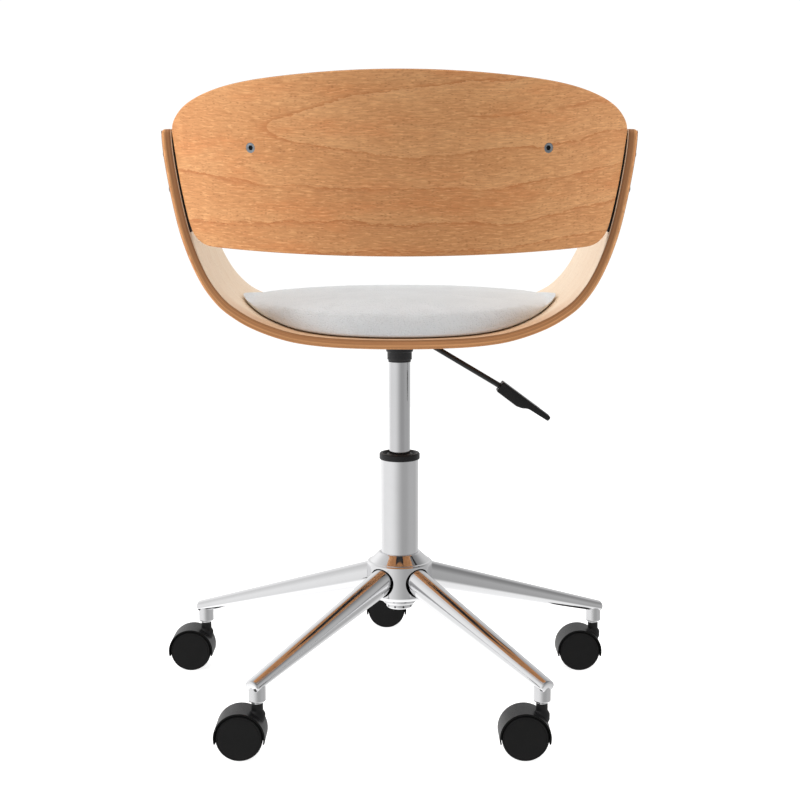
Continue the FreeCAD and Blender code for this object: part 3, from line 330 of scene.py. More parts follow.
class Mat:
    """A small writer for node materials."""

    def __init__(self, name, rough=0.5, metallic=0.0, spec=0.5):
        self.m = bpy.data.materials.new(name)
        self.m.use_nodes = True
        self.t = self.m.node_tree
        self.out = self.t.nodes["Principled BSDF"]
        self.out.inputs["Roughness"].default_value = rough
        self.out.inputs["Metallic"].default_value = metallic
        self.out.inputs["Specular IOR Level"].default_value = spec

    def put(self, socket, value):
        s = self.out.inputs[socket]
        if isinstance(value, bpy.types.NodeSocket):
            self.t.links.new(value, s)
        else:
            s.default_value = value
        return self

    def new(self, kind, **props):
        n = self.t.nodes.new(kind)
        for k, v in props.items():
            setattr(n, k, v)
        return n

    def feed(self, node, key, value):
        if isinstance(value, bpy.types.NodeSocket):
            self.t.links.new(value, node.inputs[key])
        elif value is not None:
            node.inputs[key].default_value = value

    def attr(self, name):
        n = self.new("ShaderNodeAttribute", attribute_name=name)
        return n

    def flat(self):
        return self.attr("flat").outputs["Vector"]

    def obj(self):
        return self.new("ShaderNodeTexCoord").outputs["Object"]

    def map(self, vec, scale=(1, 1, 1), loc=(0, 0, 0), rot=(0, 0, 0)):
        n = self.new("ShaderNodeMapping")
        self.feed(n, "Vector", vec)
        n.inputs["Scale"].default_value = scale
        n.inputs["Location"].default_value = loc
        n.inputs["Rotation"].default_value = rot
        return n.outputs["Vector"]

    def noise(self, vec, scale, detail=2.0, rough=0.5, distort=0.0, color=False):
        n = self.new("ShaderNodeTexNoise")
        self.feed(n, "Vector", vec)
        n.inputs["Scale"].default_value = scale
        n.inputs["Detail"].default_value = detail
        n.inputs["Roughness"].default_value = rough
        n.inputs["Distortion"].default_value = distort
        return n.outputs["Color" if color else "Fac"]

    def noise1(self, w, scale, detail=2.0, rough=0.5):
        n = self.new("ShaderNodeTexNoise", noise_dimensions="1D")
        self.feed(n, "W", w)
        n.inputs["Scale"].default_value = scale
        n.inputs["Detail"].default_value = detail
        n.inputs["Roughness"].default_value = rough
        return n.outputs["Fac"]

    def voronoi(self, vec, scale, feature="F1", out="Distance", rand=1.0):
        n = self.new("ShaderNodeTexVoronoi", feature=feature)
        self.feed(n, "Vector", vec)
        n.inputs["Scale"].default_value = scale
        n.inputs["Randomness"].default_value = rand
        return n.outputs[out]

    def math(self, op, a, b=None, c=None, clamp=False):
        n = self.new("ShaderNodeMath", operation=op, use_clamp=clamp)
        for i, v in enumerate((a, b, c)):
            if v is not None:
                self.feed(n, i, v)
        return n.outputs[0]

    def ramp(self, fac, stops, mode="LINEAR"):
        n = self.new("ShaderNodeValToRGB")
        self.feed(n, "Fac", fac)
        r = n.color_ramp
        r.interpolation = mode
        while len(r.elements) < len(stops):
            r.elements.new(0.5)
        for e, (pos, col) in zip(r.elements, stops):
            e.position = pos
            e.color = col if len(col) == 4 else (*col, 1)
        return n.outputs["Color"]

    def grey(self, fac, lo, hi, a=0.0, b=1.0):
        """fac from lo to hi becomes a to b, held at both ends."""
        n = self.new("ShaderNodeMapRange", clamp=True, interpolation_type="SMOOTHSTEP")
        self.feed(n, "Value", fac)
        n.inputs["From Min"].default_value = lo
        n.inputs["From Max"].default_value = hi
        n.inputs["To Min"].default_value = a
        n.inputs["To Max"].default_value = b
        return n.outputs["Result"]

    def mix(self, fac, a, b, mode="MIX"):
        n = self.new("ShaderNodeMix", data_type="RGBA", blend_type=mode)
        self.feed(n, 0, fac)
        self.feed(n, 6, a)
        self.feed(n, 7, b)
        return n.outputs[2]

    def split(self, vec):
        n = self.new("ShaderNodeSeparateXYZ")
        self.feed(n, 0, vec)
        return n.outputs

    def join(self, x, y, z):
        n = self.new("ShaderNodeCombineXYZ")
        for i, v in enumerate((x, y, z)):
            self.feed(n, i, v)
        return n.outputs[0]

    def bump(self, height, strength=0.3, distance=0.001, under=None):
        n = self.new("ShaderNodeBump")
        self.feed(n, "Height", height)
        n.inputs["Strength"].default_value = strength
        n.inputs["Distance"].default_value = distance
        if under is not None:
            self.feed(n, "Normal", under)
        return n.outputs["Normal"]


def beech(name, light, mid, dark, seed=0.0, axis=(0.08, 0.045), slope=0.16, pitch=0.036, figure=1.0, rough=0.44, lean=0.06,
          inner=False):
    """Rotary-cut beech veneer under satin lacquer. Grain runs along the flat pattern's first axis."""
    m = Mat(name, rough=rough, spec=0.30)
    f = m.flat()
    x, y, z = m.split(f)
    p = m.join(x, y, m.math("MULTIPLY", z, 0.0))
    slow = m.noise(m.map(p, (2.4, 5.5, 1.0), (seed, 3.1 + seed, 0)), 1.0, 2.0, 0.5)
    mid_w = m.noise(m.map(p, (11, 26, 1.0), (seed, 1.3, 0)), 1.0, 2.0, 0.55)
    zig = m.noise(m.map(p, (110, 240, 1.0), (seed, 7.7, 0)), 1.0, 2.0, 0.6)
    y2 = m.math("ADD", y, m.math("MULTIPLY", m.math("SUBTRACT", slow, 0.5), 0.055 * figure))
    y2 = m.math("ADD", y2, m.math("MULTIPLY", m.math("SUBTRACT", mid_w, 0.5), 0.020 * figure))
    y3 = m.math("ADD", y2, m.math("MULTIPLY", m.math("SUBTRACT", zig, 0.5), 0.0070))
    # flame figure: long nested tongues whose tips lie to the left
    dx = m.math("MULTIPLY", m.math("MINIMUM", m.math("SUBTRACT", x, axis[0]), 0.0), slope)
    dy = m.math("SUBTRACT", m.math("SUBTRACT", y3, axis[1]), m.math("MULTIPLY", x, lean))
    ring = m.math("SQRT", m.math("ADD", m.math("MULTIPLY", dx, dx), m.math("MULTIPLY", dy, dy)))
    ring = m.math("ADD", ring, m.math("MULTIPLY", m.math("SUBTRACT", m.noise1(ring, 30.0, 1.0), 0.5), 0.02))
    saw = m.math("FRACT", m.math("DIVIDE", ring, pitch))
    line = m.math("MULTIPLY", m.grey(saw, 0.0, 0.10, 1.0, 0.0), m.grey(saw, -0.02, 0.012, 0.0, 1.0))
    fade = m.math("POWER", saw, 1.7)
    broken = m.noise(m.map(p, (9, 22, 1.0), (seed + 4, 2, 0)), 1.0, 2.0, 0.5)
    line = m.math("MULTIPLY", line, m.grey(broken, 0.32, 0.56, 0.22, 1.0))
    wide = m.noise(m.map(p, (1.8, 4.5, 1.0), (1.7 + seed, 0.4, 0)), 1.0, 2.0, 0.5)
    patch = m.noise(m.map(p, (10, 34, 1.0), (6.1 + seed, 2.4, 0)), 1.0, 3.0, 0.6)
    tone = m.math("ADD", 0.47, m.math("MULTIPLY", m.math("SUBTRACT", wide, 0.5), 0.80))
    tone = m.math("ADD", tone, m.math("MULTIPLY", m.math("SUBTRACT", patch, 0.5), 0.60))
    tone = m.math("SUBTRACT", tone, m.math("MULTIPLY", fade, 0.20 * figure))
    tone = m.math("ADD", tone, m.math("MULTIPLY", line, 0.28 * figure))
    col = m.ramp(tone, [(0.05, light), (0.45, mid), (0.95, dark)])
    warm = m.noise(m.map(p, (6, 22, 1.0), (3.3 + seed, 8.4, 0)), 1.0, 3.0, 0.6)
    col = m.mix(m.grey(warm, 0.46, 0.70, 0.0, 0.45), col, lin(218, 134, 78))
    col = m.mix(m.math("MULTIPLY", line, 0.40 * figure), col, lin(192, 116, 66))
    # short streaks and pores along the grain, and painted glints: lighter streaks that stand in for light caught along
    # the grain
    gy = m.math("ADD", y, m.math("MULTIPLY", m.math("SUBTRACT", y2, y), 0.35))
    g = m.join(x, gy, 0.0)
    streak = m.noise(m.map(g, (62, 470, 1.0), (0, seed, 0)), 1.0, 4.0, 0.70)
    shade = m.grey(streak, 0.30, 0.72, 0.0, 1.0)
    col = m.mix(m.math("MULTIPLY", shade, 0.46), col, tuple(c * 0.68 for c in dark[:3]) + (1,))
    glint = m.noise(m.map(g, (80, 520, 1.0), (5.5, seed + 2, 0)), 1.0, 2.0, 0.55)
    col = m.mix(m.grey(glint, 0.50, 0.76, 0.0, 0.50), col, tuple(min(1, c * 1.22) for c in light[:3]) + (1,))
    # ray flecks: short dark dashes
    cells = m.map(g, (210, 560, 1.0), (0, seed * 3, 0))
    near = m.voronoi(cells, 1.0, "F1", "Distance")
    pick = m.split(m.voronoi(cells, 1.0, "F1", "Color"))[0]
    dash = m.math("MULTIPLY", m.grey(near, 0.16, 0.44, 1.0, 0.0), m.grey(pick, 0.25, 0.85, 0.0, 1.0))
    where = m.noise(m.map(p, (14, 40, 1.0), (seed, 9.0, 0)), 1.0, 2.0, 0.5)
    dash = m.math("MULTIPLY", dash, m.grey(where, 0.32, 0.66, 0.40, 1.0))
    col = m.mix(m.math("MULTIPLY", dash, 0.46), col, lin(138, 80, 42))
    spots = m.voronoi(m.map(p, (13, 52, 1.0), (0.3, seed, 0)), 1.0, "F1", "Distance")
    col = m.mix(m.grey(spots, 0.022, 0.050, 0.42, 0.0), col, lin(120, 66, 34))
    if inner:
        # the face towards the sitter is a paler veneer
        pale_face = m.ramp(tone, [(0.10, lin(248, 228, 202)), (0.55, lin(243, 219, 190)), (0.95, lin(232, 202, 168))])
        pale_face = m.mix(m.math("MULTIPLY", shade, 0.30), pale_face, lin(214, 180, 146))
        pale_face = m.mix(m.math("MULTIPLY", dash, 0.28), pale_face, lin(176, 130, 92))
        # painted shadow and reflection: the pale face is darkened to brown along the middle of the rear edge, next to
        # the cushion
        low = m.math("MULTIPLY", m.grey(y, 0.008, 0.060, 0.75, 0.0), m.grey(m.math("ABSOLUTE", x), 0.17, 0.27, 1.0, 0.0))
        pale_face = m.mix(low, pale_face, lin(206, 156, 110))
        col = m.mix(m.grey(z, 0.0060, 0.0061), col, pale_face)
    # layered edge of the plywood: plies of alternate grain, a dark glue line behind each face veneer
    along = m.noise(m.map(f, (9, 9, 620), (0, 0, seed)), 1.0, 3.0, 0.6)
    wash = m.noise(m.map(f, (14, 14, 40), (seed, 0, 0)), 1.0, 2.0, 0.5)
    share = m.math("DIVIDE", z, 0.012)
    share = m.math("ADD", share, m.math("MULTIPLY", m.math("SUBTRACT", wash, 0.5), 0.02))
    ply = m.ramp(share, [(0.00, lin(206, 152, 104)), (0.10, lin(196, 142, 96)), (0.135, lin(136, 92, 58)), (0.17, lin(166, 118, 79)),
                         (0.33, lin(176, 127, 86)), (0.37, lin(196, 148, 104)), (0.41, lin(160, 113, 75)), (0.62, lin(152, 106, 70)),
                         (0.66, lin(172, 124, 84)), (0.70, lin(150, 104, 68)), (0.87, lin(140, 96, 62)), (0.905, lin(92, 58, 36)),
                         (0.94, lin(186, 140, 100)), (1.00, lin(214, 176, 140))])
    ply = m.mix(m.grey(along, 0.36, 0.70, 0.0, 0.34), ply, lin(112, 74, 46))
    if inner:
        # painted light: the edge is made paler where it runs level across the seat's rear, standing in for the floor's
        # bounce light there
        level = m.grey(m.math("ABSOLUTE", x), 0.19, 0.32, 1.55, 1.18)
        ply = m.mix(1.0, ply, m.join(level, m.math("MULTIPLY", level, 0.985), m.math("MULTIPLY", level, 0.94)), "MULTIPLY")
    e = m.grey(m.attr("edge").outputs["Fac"], 0.78, 1.0)
    col = m.mix(e, col, ply)
    m.put("Base Color", col)
    grain = m.math("SUBTRACT", m.math("MULTIPLY", streak, 0.35), m.math("MULTIPLY", dash, 0.55))
    m.put("Normal", m.bump(grain, 0.16, 0.0004))
    m.put("Roughness", m.grey(streak, 0.2, 0.8, rough - 0.04, rough + 0.10))
    m.put("Coat Weight", 0.06)
    m.put("Coat Roughness", 0.30)
    return m.m


def chrome(name, tint=(0.80, 0.80, 0.81), rough=0.045):
    m = Mat(name, rough=rough, metallic=1.0)
    p = m.obj()
    haze = m.noise(p, 38.0, 4.0, 0.6)
    smear = m.noise(m.map(p, (900, 900, 90)), 1.0, 2.0, 0.5)
    m.put("Base Color", m.mix(m.grey(haze, 0.3, 0.7, 0.0, 0.35), (*tint, 1), tuple(c * 0.955 for c in tint) + (1,)))
    m.put("Roughness", m.math("ADD", m.grey(haze, 0.3, 0.75, rough * 0.7, rough * 1.7), m.grey(smear, 0.5, 0.8, 0.0, 0.012)))
    m.put("Normal", m.bump(m.noise(p, 160.0, 2.0, 0.5), 0.018, 0.0004))
    return m.m


def steel(name, tint, rough, scale=900.0):
    m = Mat(name, rough=rough, metallic=1.0)
    p = m.obj()
    n = m.noise(p, scale, 3.0, 0.6)
    big = m.noise(p, 120.0, 2.0, 0.5)
    m.put("Base Color", m.mix(m.grey(big, 0.3, 0.7), (*tint, 1), tuple(c * 0.82 for c in tint) + (1,)))
    m.put("Roughness", m.grey(n, 0.3, 0.7, rough - 0.07, rough + 0.10))
    m.put("Normal", m.bump(n, 0.10, 0.0002))
    return m.m


def plastic(name, base, rough=0.42, grain=2600.0, depth=0.18, spec=0.5, worn=0.3):
    m = Mat(name, rough=rough, spec=spec)
    p = m.obj()
    n = m.noise(p, grain, 3.0, 0.6)
    big = m.noise(p, 60.0, 3.0, 0.55)
    m.put("Base Color", m.mix(m.grey(big, 0.35, 0.7, 0.0, worn), base, tuple(min(1, c * 1.5 + 0.004) for c in base[:3]) + (1,)))
    m.put("Roughness", m.grey(n, 0.3, 0.7, rough - 0.06, rough + 0.10))
    m.put("Normal", m.bump(n, depth, 0.00025))
    return m.m


def upholstery(name):
    """White coated fabric with a fine pebbled grain."""
    m = Mat(name, rough=0.55, spec=0.35)
    p = m.obj()
    warp = m.noise(p, 420.0, 2.0, 0.5, color=True)
    cells = m.voronoi(m.new("ShaderNodeVectorMath", operation="ADD").outputs[0], 1.0)
    add = cells.node.inputs["Vector"].links[0].from_node
    m.feed(add, 0, m.map(p, (430, 430, 430)))
    m.feed(add, 1, warp)
    fine = m.noise(p, 1300.0, 3.0, 0.6)
    soft = m.noise(p, 22.0, 3.0, 0.55)
    col = m.mix(m.grey(soft, 0.35, 0.65), lin(222, 225, 227), lin(218, 221, 223))
    col = m.mix(m.grey(cells, 0.05, 0.45, 0.30, 0.0), col, lin(192, 195, 198))
    m.put("Base Color", col)
    h = m.math("ADD", m.math("MULTIPLY", m.grey(cells, 0.0, 0.6), 0.8), m.math("MULTIPLY", fine, 0.35))
    m.put("Normal", m.bump(h, 0.60, 0.0008, under=m.bump(m.noise(p, 60.0, 3.0, 0.6), 0.06, 0.0012)))
    m.put("Roughness", m.grey(fine, 0.3, 0.7, 0.50, 0.64))
    m.put("Sheen Weight", 0.12)
    m.put("Sheen Roughness", 0.5)
    return m.m


PANEL_WOOD = beech("beech_panel", lin(231, 176, 122), lin(214, 152, 99), lin(190, 125, 76), seed=0.0)
SHELL_OUT = beech("beech_shell", lin(226, 170, 118), lin(213, 152, 100), lin(194, 130, 82), seed=2.3, axis=(0.05, 0.2), slope=0.20,
                  pitch=0.042, figure=0.8, lean=0.0, inner=True)
BOARD_WOOD = beech("beech_board", lin(222, 180, 136), lin(208, 160, 114), lin(190, 138, 94), seed=5.1, rough=0.6)
CHROME = chrome("chrome")
CHROME_SOFT = chrome("chrome_column", tint=(0.78, 0.78, 0.79), rough=0.10)
# a darker copy of the chrome for the lift: painted shade for the dim reflections under the seat
CHROME_LIFT_SHADED = chrome("chrome_lift_shaded", tint=(0.66, 0.66, 0.67), rough=0.07)
ZINC = steel("zinc", (0.34, 0.37, 0.40), 0.48)
# painted shade for the inside of the bolts' hexagon sockets
SOCKET_SHADE = plastic("socket_painted_shade", lin(20, 22, 25), rough=0.5, grain=2000.0, depth=0.1, spec=0.2)
STEEL = steel("ground_steel", (0.60, 0.60, 0.61), 0.26, 1500.0)
BLACK_METAL = plastic("black_powder_coat", lin(40, 40, 41), rough=0.50, grain=1400.0, depth=0.35, worn=0.15, spec=0.35)
BLACK_ROD = plastic("black_rod", lin(18, 17, 17), rough=0.34, grain=1800.0, depth=0.2, worn=0.2, spec=0.45)
BLACK_PLASTIC = plastic("black_plastic", lin(12, 12, 13), rough=0.42, grain=3000.0, depth=0.16, spec=0.35)
HOOD = plastic("castor_hood", lin(19, 19, 20), rough=0.38, grain=2400.0, depth=0.26, worn=0.25, spec=0.32)
BLACK_RIM = plastic("castor_rim", lin(5, 5, 5), rough=0.55, grain=2400.0, depth=0.12, worn=0.1, spec=0.2)
DISC = plastic("castor_disc", lin(17, 17, 17), rough=0.58, grain=3200.0, depth=0.10, worn=0.15, spec=0.22)
# black rubber of the tyres, also used as painted shade on the panel gaskets
RUBBER_AND_SHADE = plastic("black_rubber", lin(14, 14, 14), rough=0.75, grain=1500.0, depth=0.3, spec=0.3)
NATURAL = plastic("natural_plastic", lin(214, 212, 204), rough=0.5, grain=1500.0, depth=0.15)
COVER = upholstery("white_cover")

# ------------------------------------------------------------------------------------ seat shell
SHELL_PLACE = placed((0, -195.0, 486.8), about("X", 0.8))
OUTER = [(0.0, 0.0), (30.0, 0.25), (59.5, 1.2), (84.0, 2.6), (106.6, 5.0), (126.0, 8.2), (144.1, 13.0), (162.9, 19.6),
         (181.8, 28.2), (198.0, 38.2), (209.0, 46.6), (220.0, 58.2), (229.0, 70.4), (241.6, 93.9), (250.8, 117.2),
         (257.9, 140.4), (263.2, 163.6), (267.8, 187.8), (271.4, 209.6), (273.9, 227.9), (275.3, 243.9), (275.7, 256.4)]
whole = np.array([(-a, b) for a, b in reversed(OUTER[1:])] + OUTER)
knots = np.concatenate([[0], np.cumsum(np.linalg.norm(np.diff(whole, axis=0), axis=1))])
SECTION = cubic(knots, whole, np.linspace(0, knots[-1], 4001))
ARC = np.concatenate([[0], np.cumsum(np.linalg.norm(np.diff(SECTION, axis=0), axis=1))])
S_MAX = ARC[-1] / 2
TAN = np.gradient(SECTION, axis=0)
TAN /= np.linalg.norm(TAN, axis=1)[:, None]


def u_section(s, depth):
    """x and height of the shell's section at arc position s, depth inside the outer face."""
    q = np.clip(np.asarray(s, float) + S_MAX, 0, ARC[-1])
    x, z, tx, tz = (np.interp(q, ARC, c) for c in (SECTION[:, 0], SECTION[:, 1], TAN[:, 0], TAN[:, 1]))
    return x - tz * depth, z + tx * depth


FRONT = np.array([(0.0, 411.0), (40.0, 409.5), (75.0, 404.0), (105.0, 393.5), (130.0, 378.0), (150.0, 358.0), (168.0, 333.0),
                  (184.0, 306.0), (200.0, 281.0), (218.0, 259.5), (240.0, 241.0), (262.0, 227.5), (290.0, 215.5),
                  (325.0, 205.0), (360.0, 195.5), (392.0, 188.0), (413.5, 185.0), (S_MAX, 184.0)])


def front_at(s):
    s = np.abs(np.asarray(s, float))
    both = np.concatenate([[(-a, b) for a, b in FRONT[:0:-1]], FRONT])
    y = cubic(both[:, 0], both[:, 1], s)
    top = S_MAX - 30.0
    near = np.clip(s - top, 0, 30.0)
    return np.where(s > top, 155.0 + np.sqrt(np.maximum(900.0 - near ** 2, 0.0)), y)


def rear_at(s):
    near = np.clip(np.abs(np.asarray(s, float)) - (S_MAX - 7.0), 0, 7.0)
    return 7.0 - np.sqrt(np.maximum(49.0 - near ** 2, 0.0))


def shell_grid():
    k = 150
    base = np.linspace(-1, 1, 2 * k + 1)
    sig = np.sign(base) * (1 - (1 - np.abs(base)) ** 1.12)
    low_s, high_s = sig * (S_MAX - 7 * (1 - math.sqrt(0.5))), sig * (S_MAX - 30 * (1 - math.sqrt(0.5)))
    low = np.stack([low_s, rear_at(low_s)], 1)
    high = np.stack([high_s, front_at(high_s)], 1)

    def side(sign):
        a = [(S_MAX - 7 + 7 * math.sin(q), 7 - 7 * math.cos(q)) for q in np.linspace(math.pi / 4, math.pi / 2, 8)]
        b = [(S_MAX - 30 + 30 * math.cos(q), 155 + 30 * math.sin(q)) for q in np.linspace(0, math.pi / 4, 14)]
        line = even(np.array(a + b), 61)
        return np.stack([sign * line[:, 0], line[:, 1]], 1)

    return coons(low, high, side(-1), side(1))


def shell_place(flat, depth):
    x, z = u_section(flat[:, 0], depth)
    return np.stack([x, flat[:, 1], z], 1)


def shell_rounds(grid):
    """The arms' rear outer arris is well rounded, the seat's is crisp."""
    m, n = grid.shape[:2]
    idx = [(i, 0) for i in range(m)] + [(m - 1, j) for j in range(1, n)]
    idx += [(i, n - 1) for i in range(m - 2, -1, -1)] + [(0, j) for j in range(n - 2, 0, -1)]
    s = np.array([abs(grid[i, j, 0]) for i, j in idx])
    w = np.clip((s - 150.0) / 170.0, 0, 1)
    return 1.3 + 2.9 * w * w * (3 - 2 * w)


grid = shell_grid()
shell = board("shell_plywood", grid, shell_place, 12.0, shell_rounds(grid), 1.1, SHELL_PLACE, [SHELL_OUT])
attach(shell, "seat")
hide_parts("seat_shell")

# ------------------------------------------------------------------------------------ back panel
PANEL_PLACE = placed((0, -298.0, 700.0), about("X", 7.5))
RP = 385.0
OUTLINE = [(0.0, 101.4), (40.0, 100.6), (80.0, 98.2), (132.5, 92.6), (165.0, 87.6), (190.0, 82.0), (212.0, 75.0),
           (230.0, 67.0), (243.0, 59.0), (252.5, 50.5), (259.0, 41.5), (262.2, 34.0), (262.8, 26.0), (261.4, 14.0),
           (259.5, 0.0), (255.8, -24.0), (251.2, -48.0), (246.6, -68.0), (243.4, -79.5), (239.0, -89.0), (231.5, -96.6),
           (222.0, -100.4), (212.0, -101.2), (196.0, -101.2)]


def panel_grid():
    pts = np.array([(-a, b) for a, b in OUTLINE[::-1][:-1]] + OUTLINE)
    t = np.concatenate([[0], np.cumsum(np.linalg.norm(np.diff(pts, axis=0), axis=1))])
    fine = cubic(t, pts, np.linspace(0, t[-1], 6001))
    right = fine[3000:]
    hi = int(np.argmin(np.abs(right[:, 0] - 259.0) + np.abs(right[:, 1] - 41.5)))
    lo = int(np.argmin(np.abs(right[:, 0] - 239.0) + np.abs(right[:, 1] + 89.0)))
    top = even(fine[3000 - hi:3000 + hi + 1], 181)
    side = even(right[hi:lo + 1][::-1], 57)
    corner = right[lo:]
    low = np.concatenate([corner[::-1][:0], corner, [(0.0, -101.2)]])
    low = even(np.concatenate([[(-a, b) for a, b in corner], corner[::-1]]), 181)
    other = side * np.array([-1, 1])
    return coons(low, top, other, side)


def panel_place(flat, depth):
    x = flat[:, 0]
    r = RP - depth
    return np.stack([x, RP - np.sqrt(r * r - x * x), flat[:, 1]], 1)


panel = board("panel_plywood", panel_grid(), panel_place, 12.0, 1.6, 1.6, placed(), [PANEL_WOOD])
BOLT_TURN = math.radians(25.5)


def bolt_spot(sign, r):
    return Vector((sign * r * math.sin(BOLT_TURN), RP - r * math.cos(BOLT_TURN), 14.5))


tools = []
for sign in (-1, 1):
    inward = Vector((-sign * math.sin(BOLT_TURN), math.cos(BOLT_TURN), 0))
    v, f = lathe_mesh([(0, -3), (5.75, -3), (5.75, 3.5), (0, 3.5)], seg=64)
    tool = build("recess_tool", v, f, placed(bolt_spot(sign, RP), Vector((0, 0, 1)).rotation_difference(inward).to_matrix()),
                 mats=[PANEL_WOOD])
    cutter = panel.modifiers.new("recess", "BOOLEAN")
    cutter.operation, cutter.object, cutter.solver = "DIFFERENCE", tool, "EXACT"
    tools.append(tool)
dg = bpy.context.evaluated_depsgraph_get()
cut_mesh = bpy.data.meshes.new_from_object(panel.evaluated_get(dg))
panel.modifiers.clear()
panel.data = cut_mesh
for tool in tools:
    bpy.data.objects.remove(tool)
# the flat pattern follows the bend, so that the grain keeps its scale towards the ends
count = len(cut_mesh.vertices)
co = np.zeros(count * 3)
cut_mesh.vertices.foreach_get("co", co)
co = co.reshape(-1, 3) / MM
reach = np.sqrt((RP - co[:, 1]) ** 2 + co[:, 0] ** 2)
vec = np.stack([RP * np.arctan2(co[:, 0], RP - co[:, 1]), co[:, 2], RP - reach], 1) * MM
if "flat" not in cut_mesh.attributes:
    cut_mesh.attributes.new("flat", "FLOAT_VECTOR", "POINT")
cut_mesh.attributes["flat"].data.foreach_set("vector", vec.astype(np.float32).ravel())
cut_mesh.transform(PANEL_PLACE @ Matrix.Scale(1 / MM, 4))
cut_mesh.set_sharp_from_angle(angle=math.radians(50))
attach(panel, "seat")
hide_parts("back_panel")


# countersunk bolts with a hexagon socket, one either side
def socket_bolt(tag, sign):
    spot = bolt_spot(sign, RP - 0.02)
    inward = Vector((-sign * math.sin(BOLT_TURN), math.cos(BOLT_TURN), 0))
    rot = Vector((0, 0, 1)).rotation_difference(inward).to_matrix()
    seg = 48
    rows = []
    for r, z in ((5.66, 3.3), (5.66, 0.35), (5.56, 0.12), (5.35, 0.0), (4.5, 0.0), (4.32, 0.06), (3.5, 0.45), (3.3, 0.55)):
        rows.append([(r * math.cos(2 * math.pi * k / seg), r * math.sin(2 * math.pi * k / seg), z) for k in range(seg)])

    def hexa(r, z):
        ring = []
        for k in range(seg):
            a = 2 * math.pi * k / seg
            w = (a + math.pi / 6) % (math.pi / 3) - math.pi / 6
            q = r * math.cos(math.pi / 6) / math.cos(w)
            ring.append((q * math.cos(a), q * math.sin(a), z))
        return ring

    rows += [hexa(3.0, 0.58), hexa(2.86, 0.7), hexa(2.80, 2.5), hexa(2.2, 2.75)]
    ob = loft("socket_bolt_" + tag, rows, ZINC, PANEL_PLACE @ Matrix.Translation(spot) @ rot.to_4x4(), sharp=40)
    ob.data.materials.append(SOCKET_SHADE)
    # painted shade: the socket's walls and floor take the dark material
    inside = len(rows) - 4
    for f in ob.data.polygons:
        if min(f.vertices) >= inside * seg and min(f.vertices) < len(rows) * seg:
            f.material_index = 1
    return ob


bolts = join("panel_bolts", [socket_bolt("left", -1), socket_bolt("right", 1)])
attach(bolts, "seat")
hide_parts("back_bolts")


# dome-headed screws in the arms
def dome_screw(tag, sx, h):
    xo = {228.0: 273.9, 188.0: 267.8}[h]
    rot = about("Y", sx * 90)
    corners = [(0, 1.82, 0)]
    for k in range(1, 9):
        a = math.radians(48) * k / 8
        corners.append((5.2 * math.sin(a) / math.sin(math.radians(48)) * 0.78, 1.8 * math.cos(a * 1.5), 0))
    corners += [(4.05, 0.25, 0), (4.05, -0.6, 0), (2.0, -0.7, 0), (2.0, -12.0, 0), (0, -12.0, 0)]
    return lathe("screw_" + tag, corners, ZINC, SHELL_PLACE @ Matrix.Translation((sx * (xo + (0.25 if h > 200 else 0.5)), 12.5, h)) @ rot, seg=40)


screws = join("arm_dome_screws", [dome_screw("%d_%d" % (i, j), sx, h) for i, sx in enumerate((-1, 1)) for j, h in enumerate((228.0, 188.0))])
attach(screws, "seat")
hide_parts("arm_screws")


# ------------------------------------------------------------------------------------ soft pieces
def cloth_puff(ob, hold, cap, pressure=4.0, voxel=0.0, frames=20):
    """Lets pressure swell a closed form a little; hold(co) says which points stay.
    The most that a point moves is cap, in metres."""
    if voxel:
        mod = ob.modifiers.new("remesh", "REMESH")
        mod.mode, mod.voxel_size, mod.use_smooth_shade = "VOXEL", voxel, True
        dg = bpy.context.evaluated_depsgraph_get()
        made = bpy.data.meshes.new_from_object(ob.evaluated_get(dg))
        ob.modifiers.clear()
        old, ob.data = ob.data, made
        bpy.data.meshes.remove(old)
    me = ob.data
    n = len(me.vertices)
    start = np.zeros(n * 3)
    me.vertices.foreach_get("co", start)
    start = start.reshape(-1, 3)
    group = ob.vertex_groups.new(name="hold")
    weight = hold(start)
    for i in np.nonzero(weight > 0.01)[0]:
        group.add([int(i)], float(weight[i]), "REPLACE")
    c = ob.modifiers.new("cloth", "CLOTH")
    s = c.settings
    s.quality = 5
    s.mass = 0.25
    s.tension_stiffness = s.compression_stiffness = 18
    s.shear_stiffness = 6
    s.bending_stiffness = 0.6
    s.use_pressure = True
    s.uniform_pressure_force = pressure
    s.vertex_group_mass = "hold"
    s.pin_stiffness = 1.0
    s.effector_weights.gravity = 0.0
    c.collision_settings.use_collision = False
    c.collision_settings.use_self_collision = False
    c.point_cache.frame_start, c.point_cache.frame_end = 1, frames
    for f in range(1, frames + 1):
        scene.frame_set(f)
    dg = bpy.context.evaluated_depsgraph_get()
    done = bpy.data.meshes.new_from_object(ob.evaluated_get(dg))
    ob.modifiers.clear()
    end = np.zeros(n * 3)
    done.vertices.foreach_get("co", end)
    end = end.reshape(-1, 3)
    move = end - start
    size = np.linalg.norm(move, axis=1)
    scale = np.where(size > cap, cap / np.maximum(size, 1e-9), 1.0)
    final = start + move * scale[:, None]
    me.vertices.foreach_set("co", final.ravel())
    bpy.data.meshes.remove(done)
    ob.vertex_groups.clear()
    scene.frame_set(1)
    me.update()
    return ob


def coords(me):
    co = np.zeros(len(me.vertices) * 3)
    me.vertices.foreach_get("co", co)
    return co.reshape(-1, 3)


def smooth_verts(me, rounds=6, factor=0.5, mask=None):
    """Laplacian smoothing of a mesh's points."""
    co = coords(me)
    e = np.zeros(len(me.edges) * 2, np.int64)
    me.edges.foreach_get("vertices", e)
    e = e.reshape(-1, 2)
    n = len(co)
    deg = np.bincount(e.ravel(), minlength=n)[:, None]
    for _ in range(rounds):
        acc = np.zeros_like(co)
        for a, b in ((0, 1), (1, 0)):
            for k in range(3):
                acc[:, k] += np.bincount(e[:, a], weights=co[e[:, b], k], minlength=n)
        new = co + factor * (acc / np.maximum(deg, 1) - co)
        co = new if mask is None else co + (new - co) * mask[:, None]
    me.vertices.foreach_set("co", co.ravel())
    me.update()


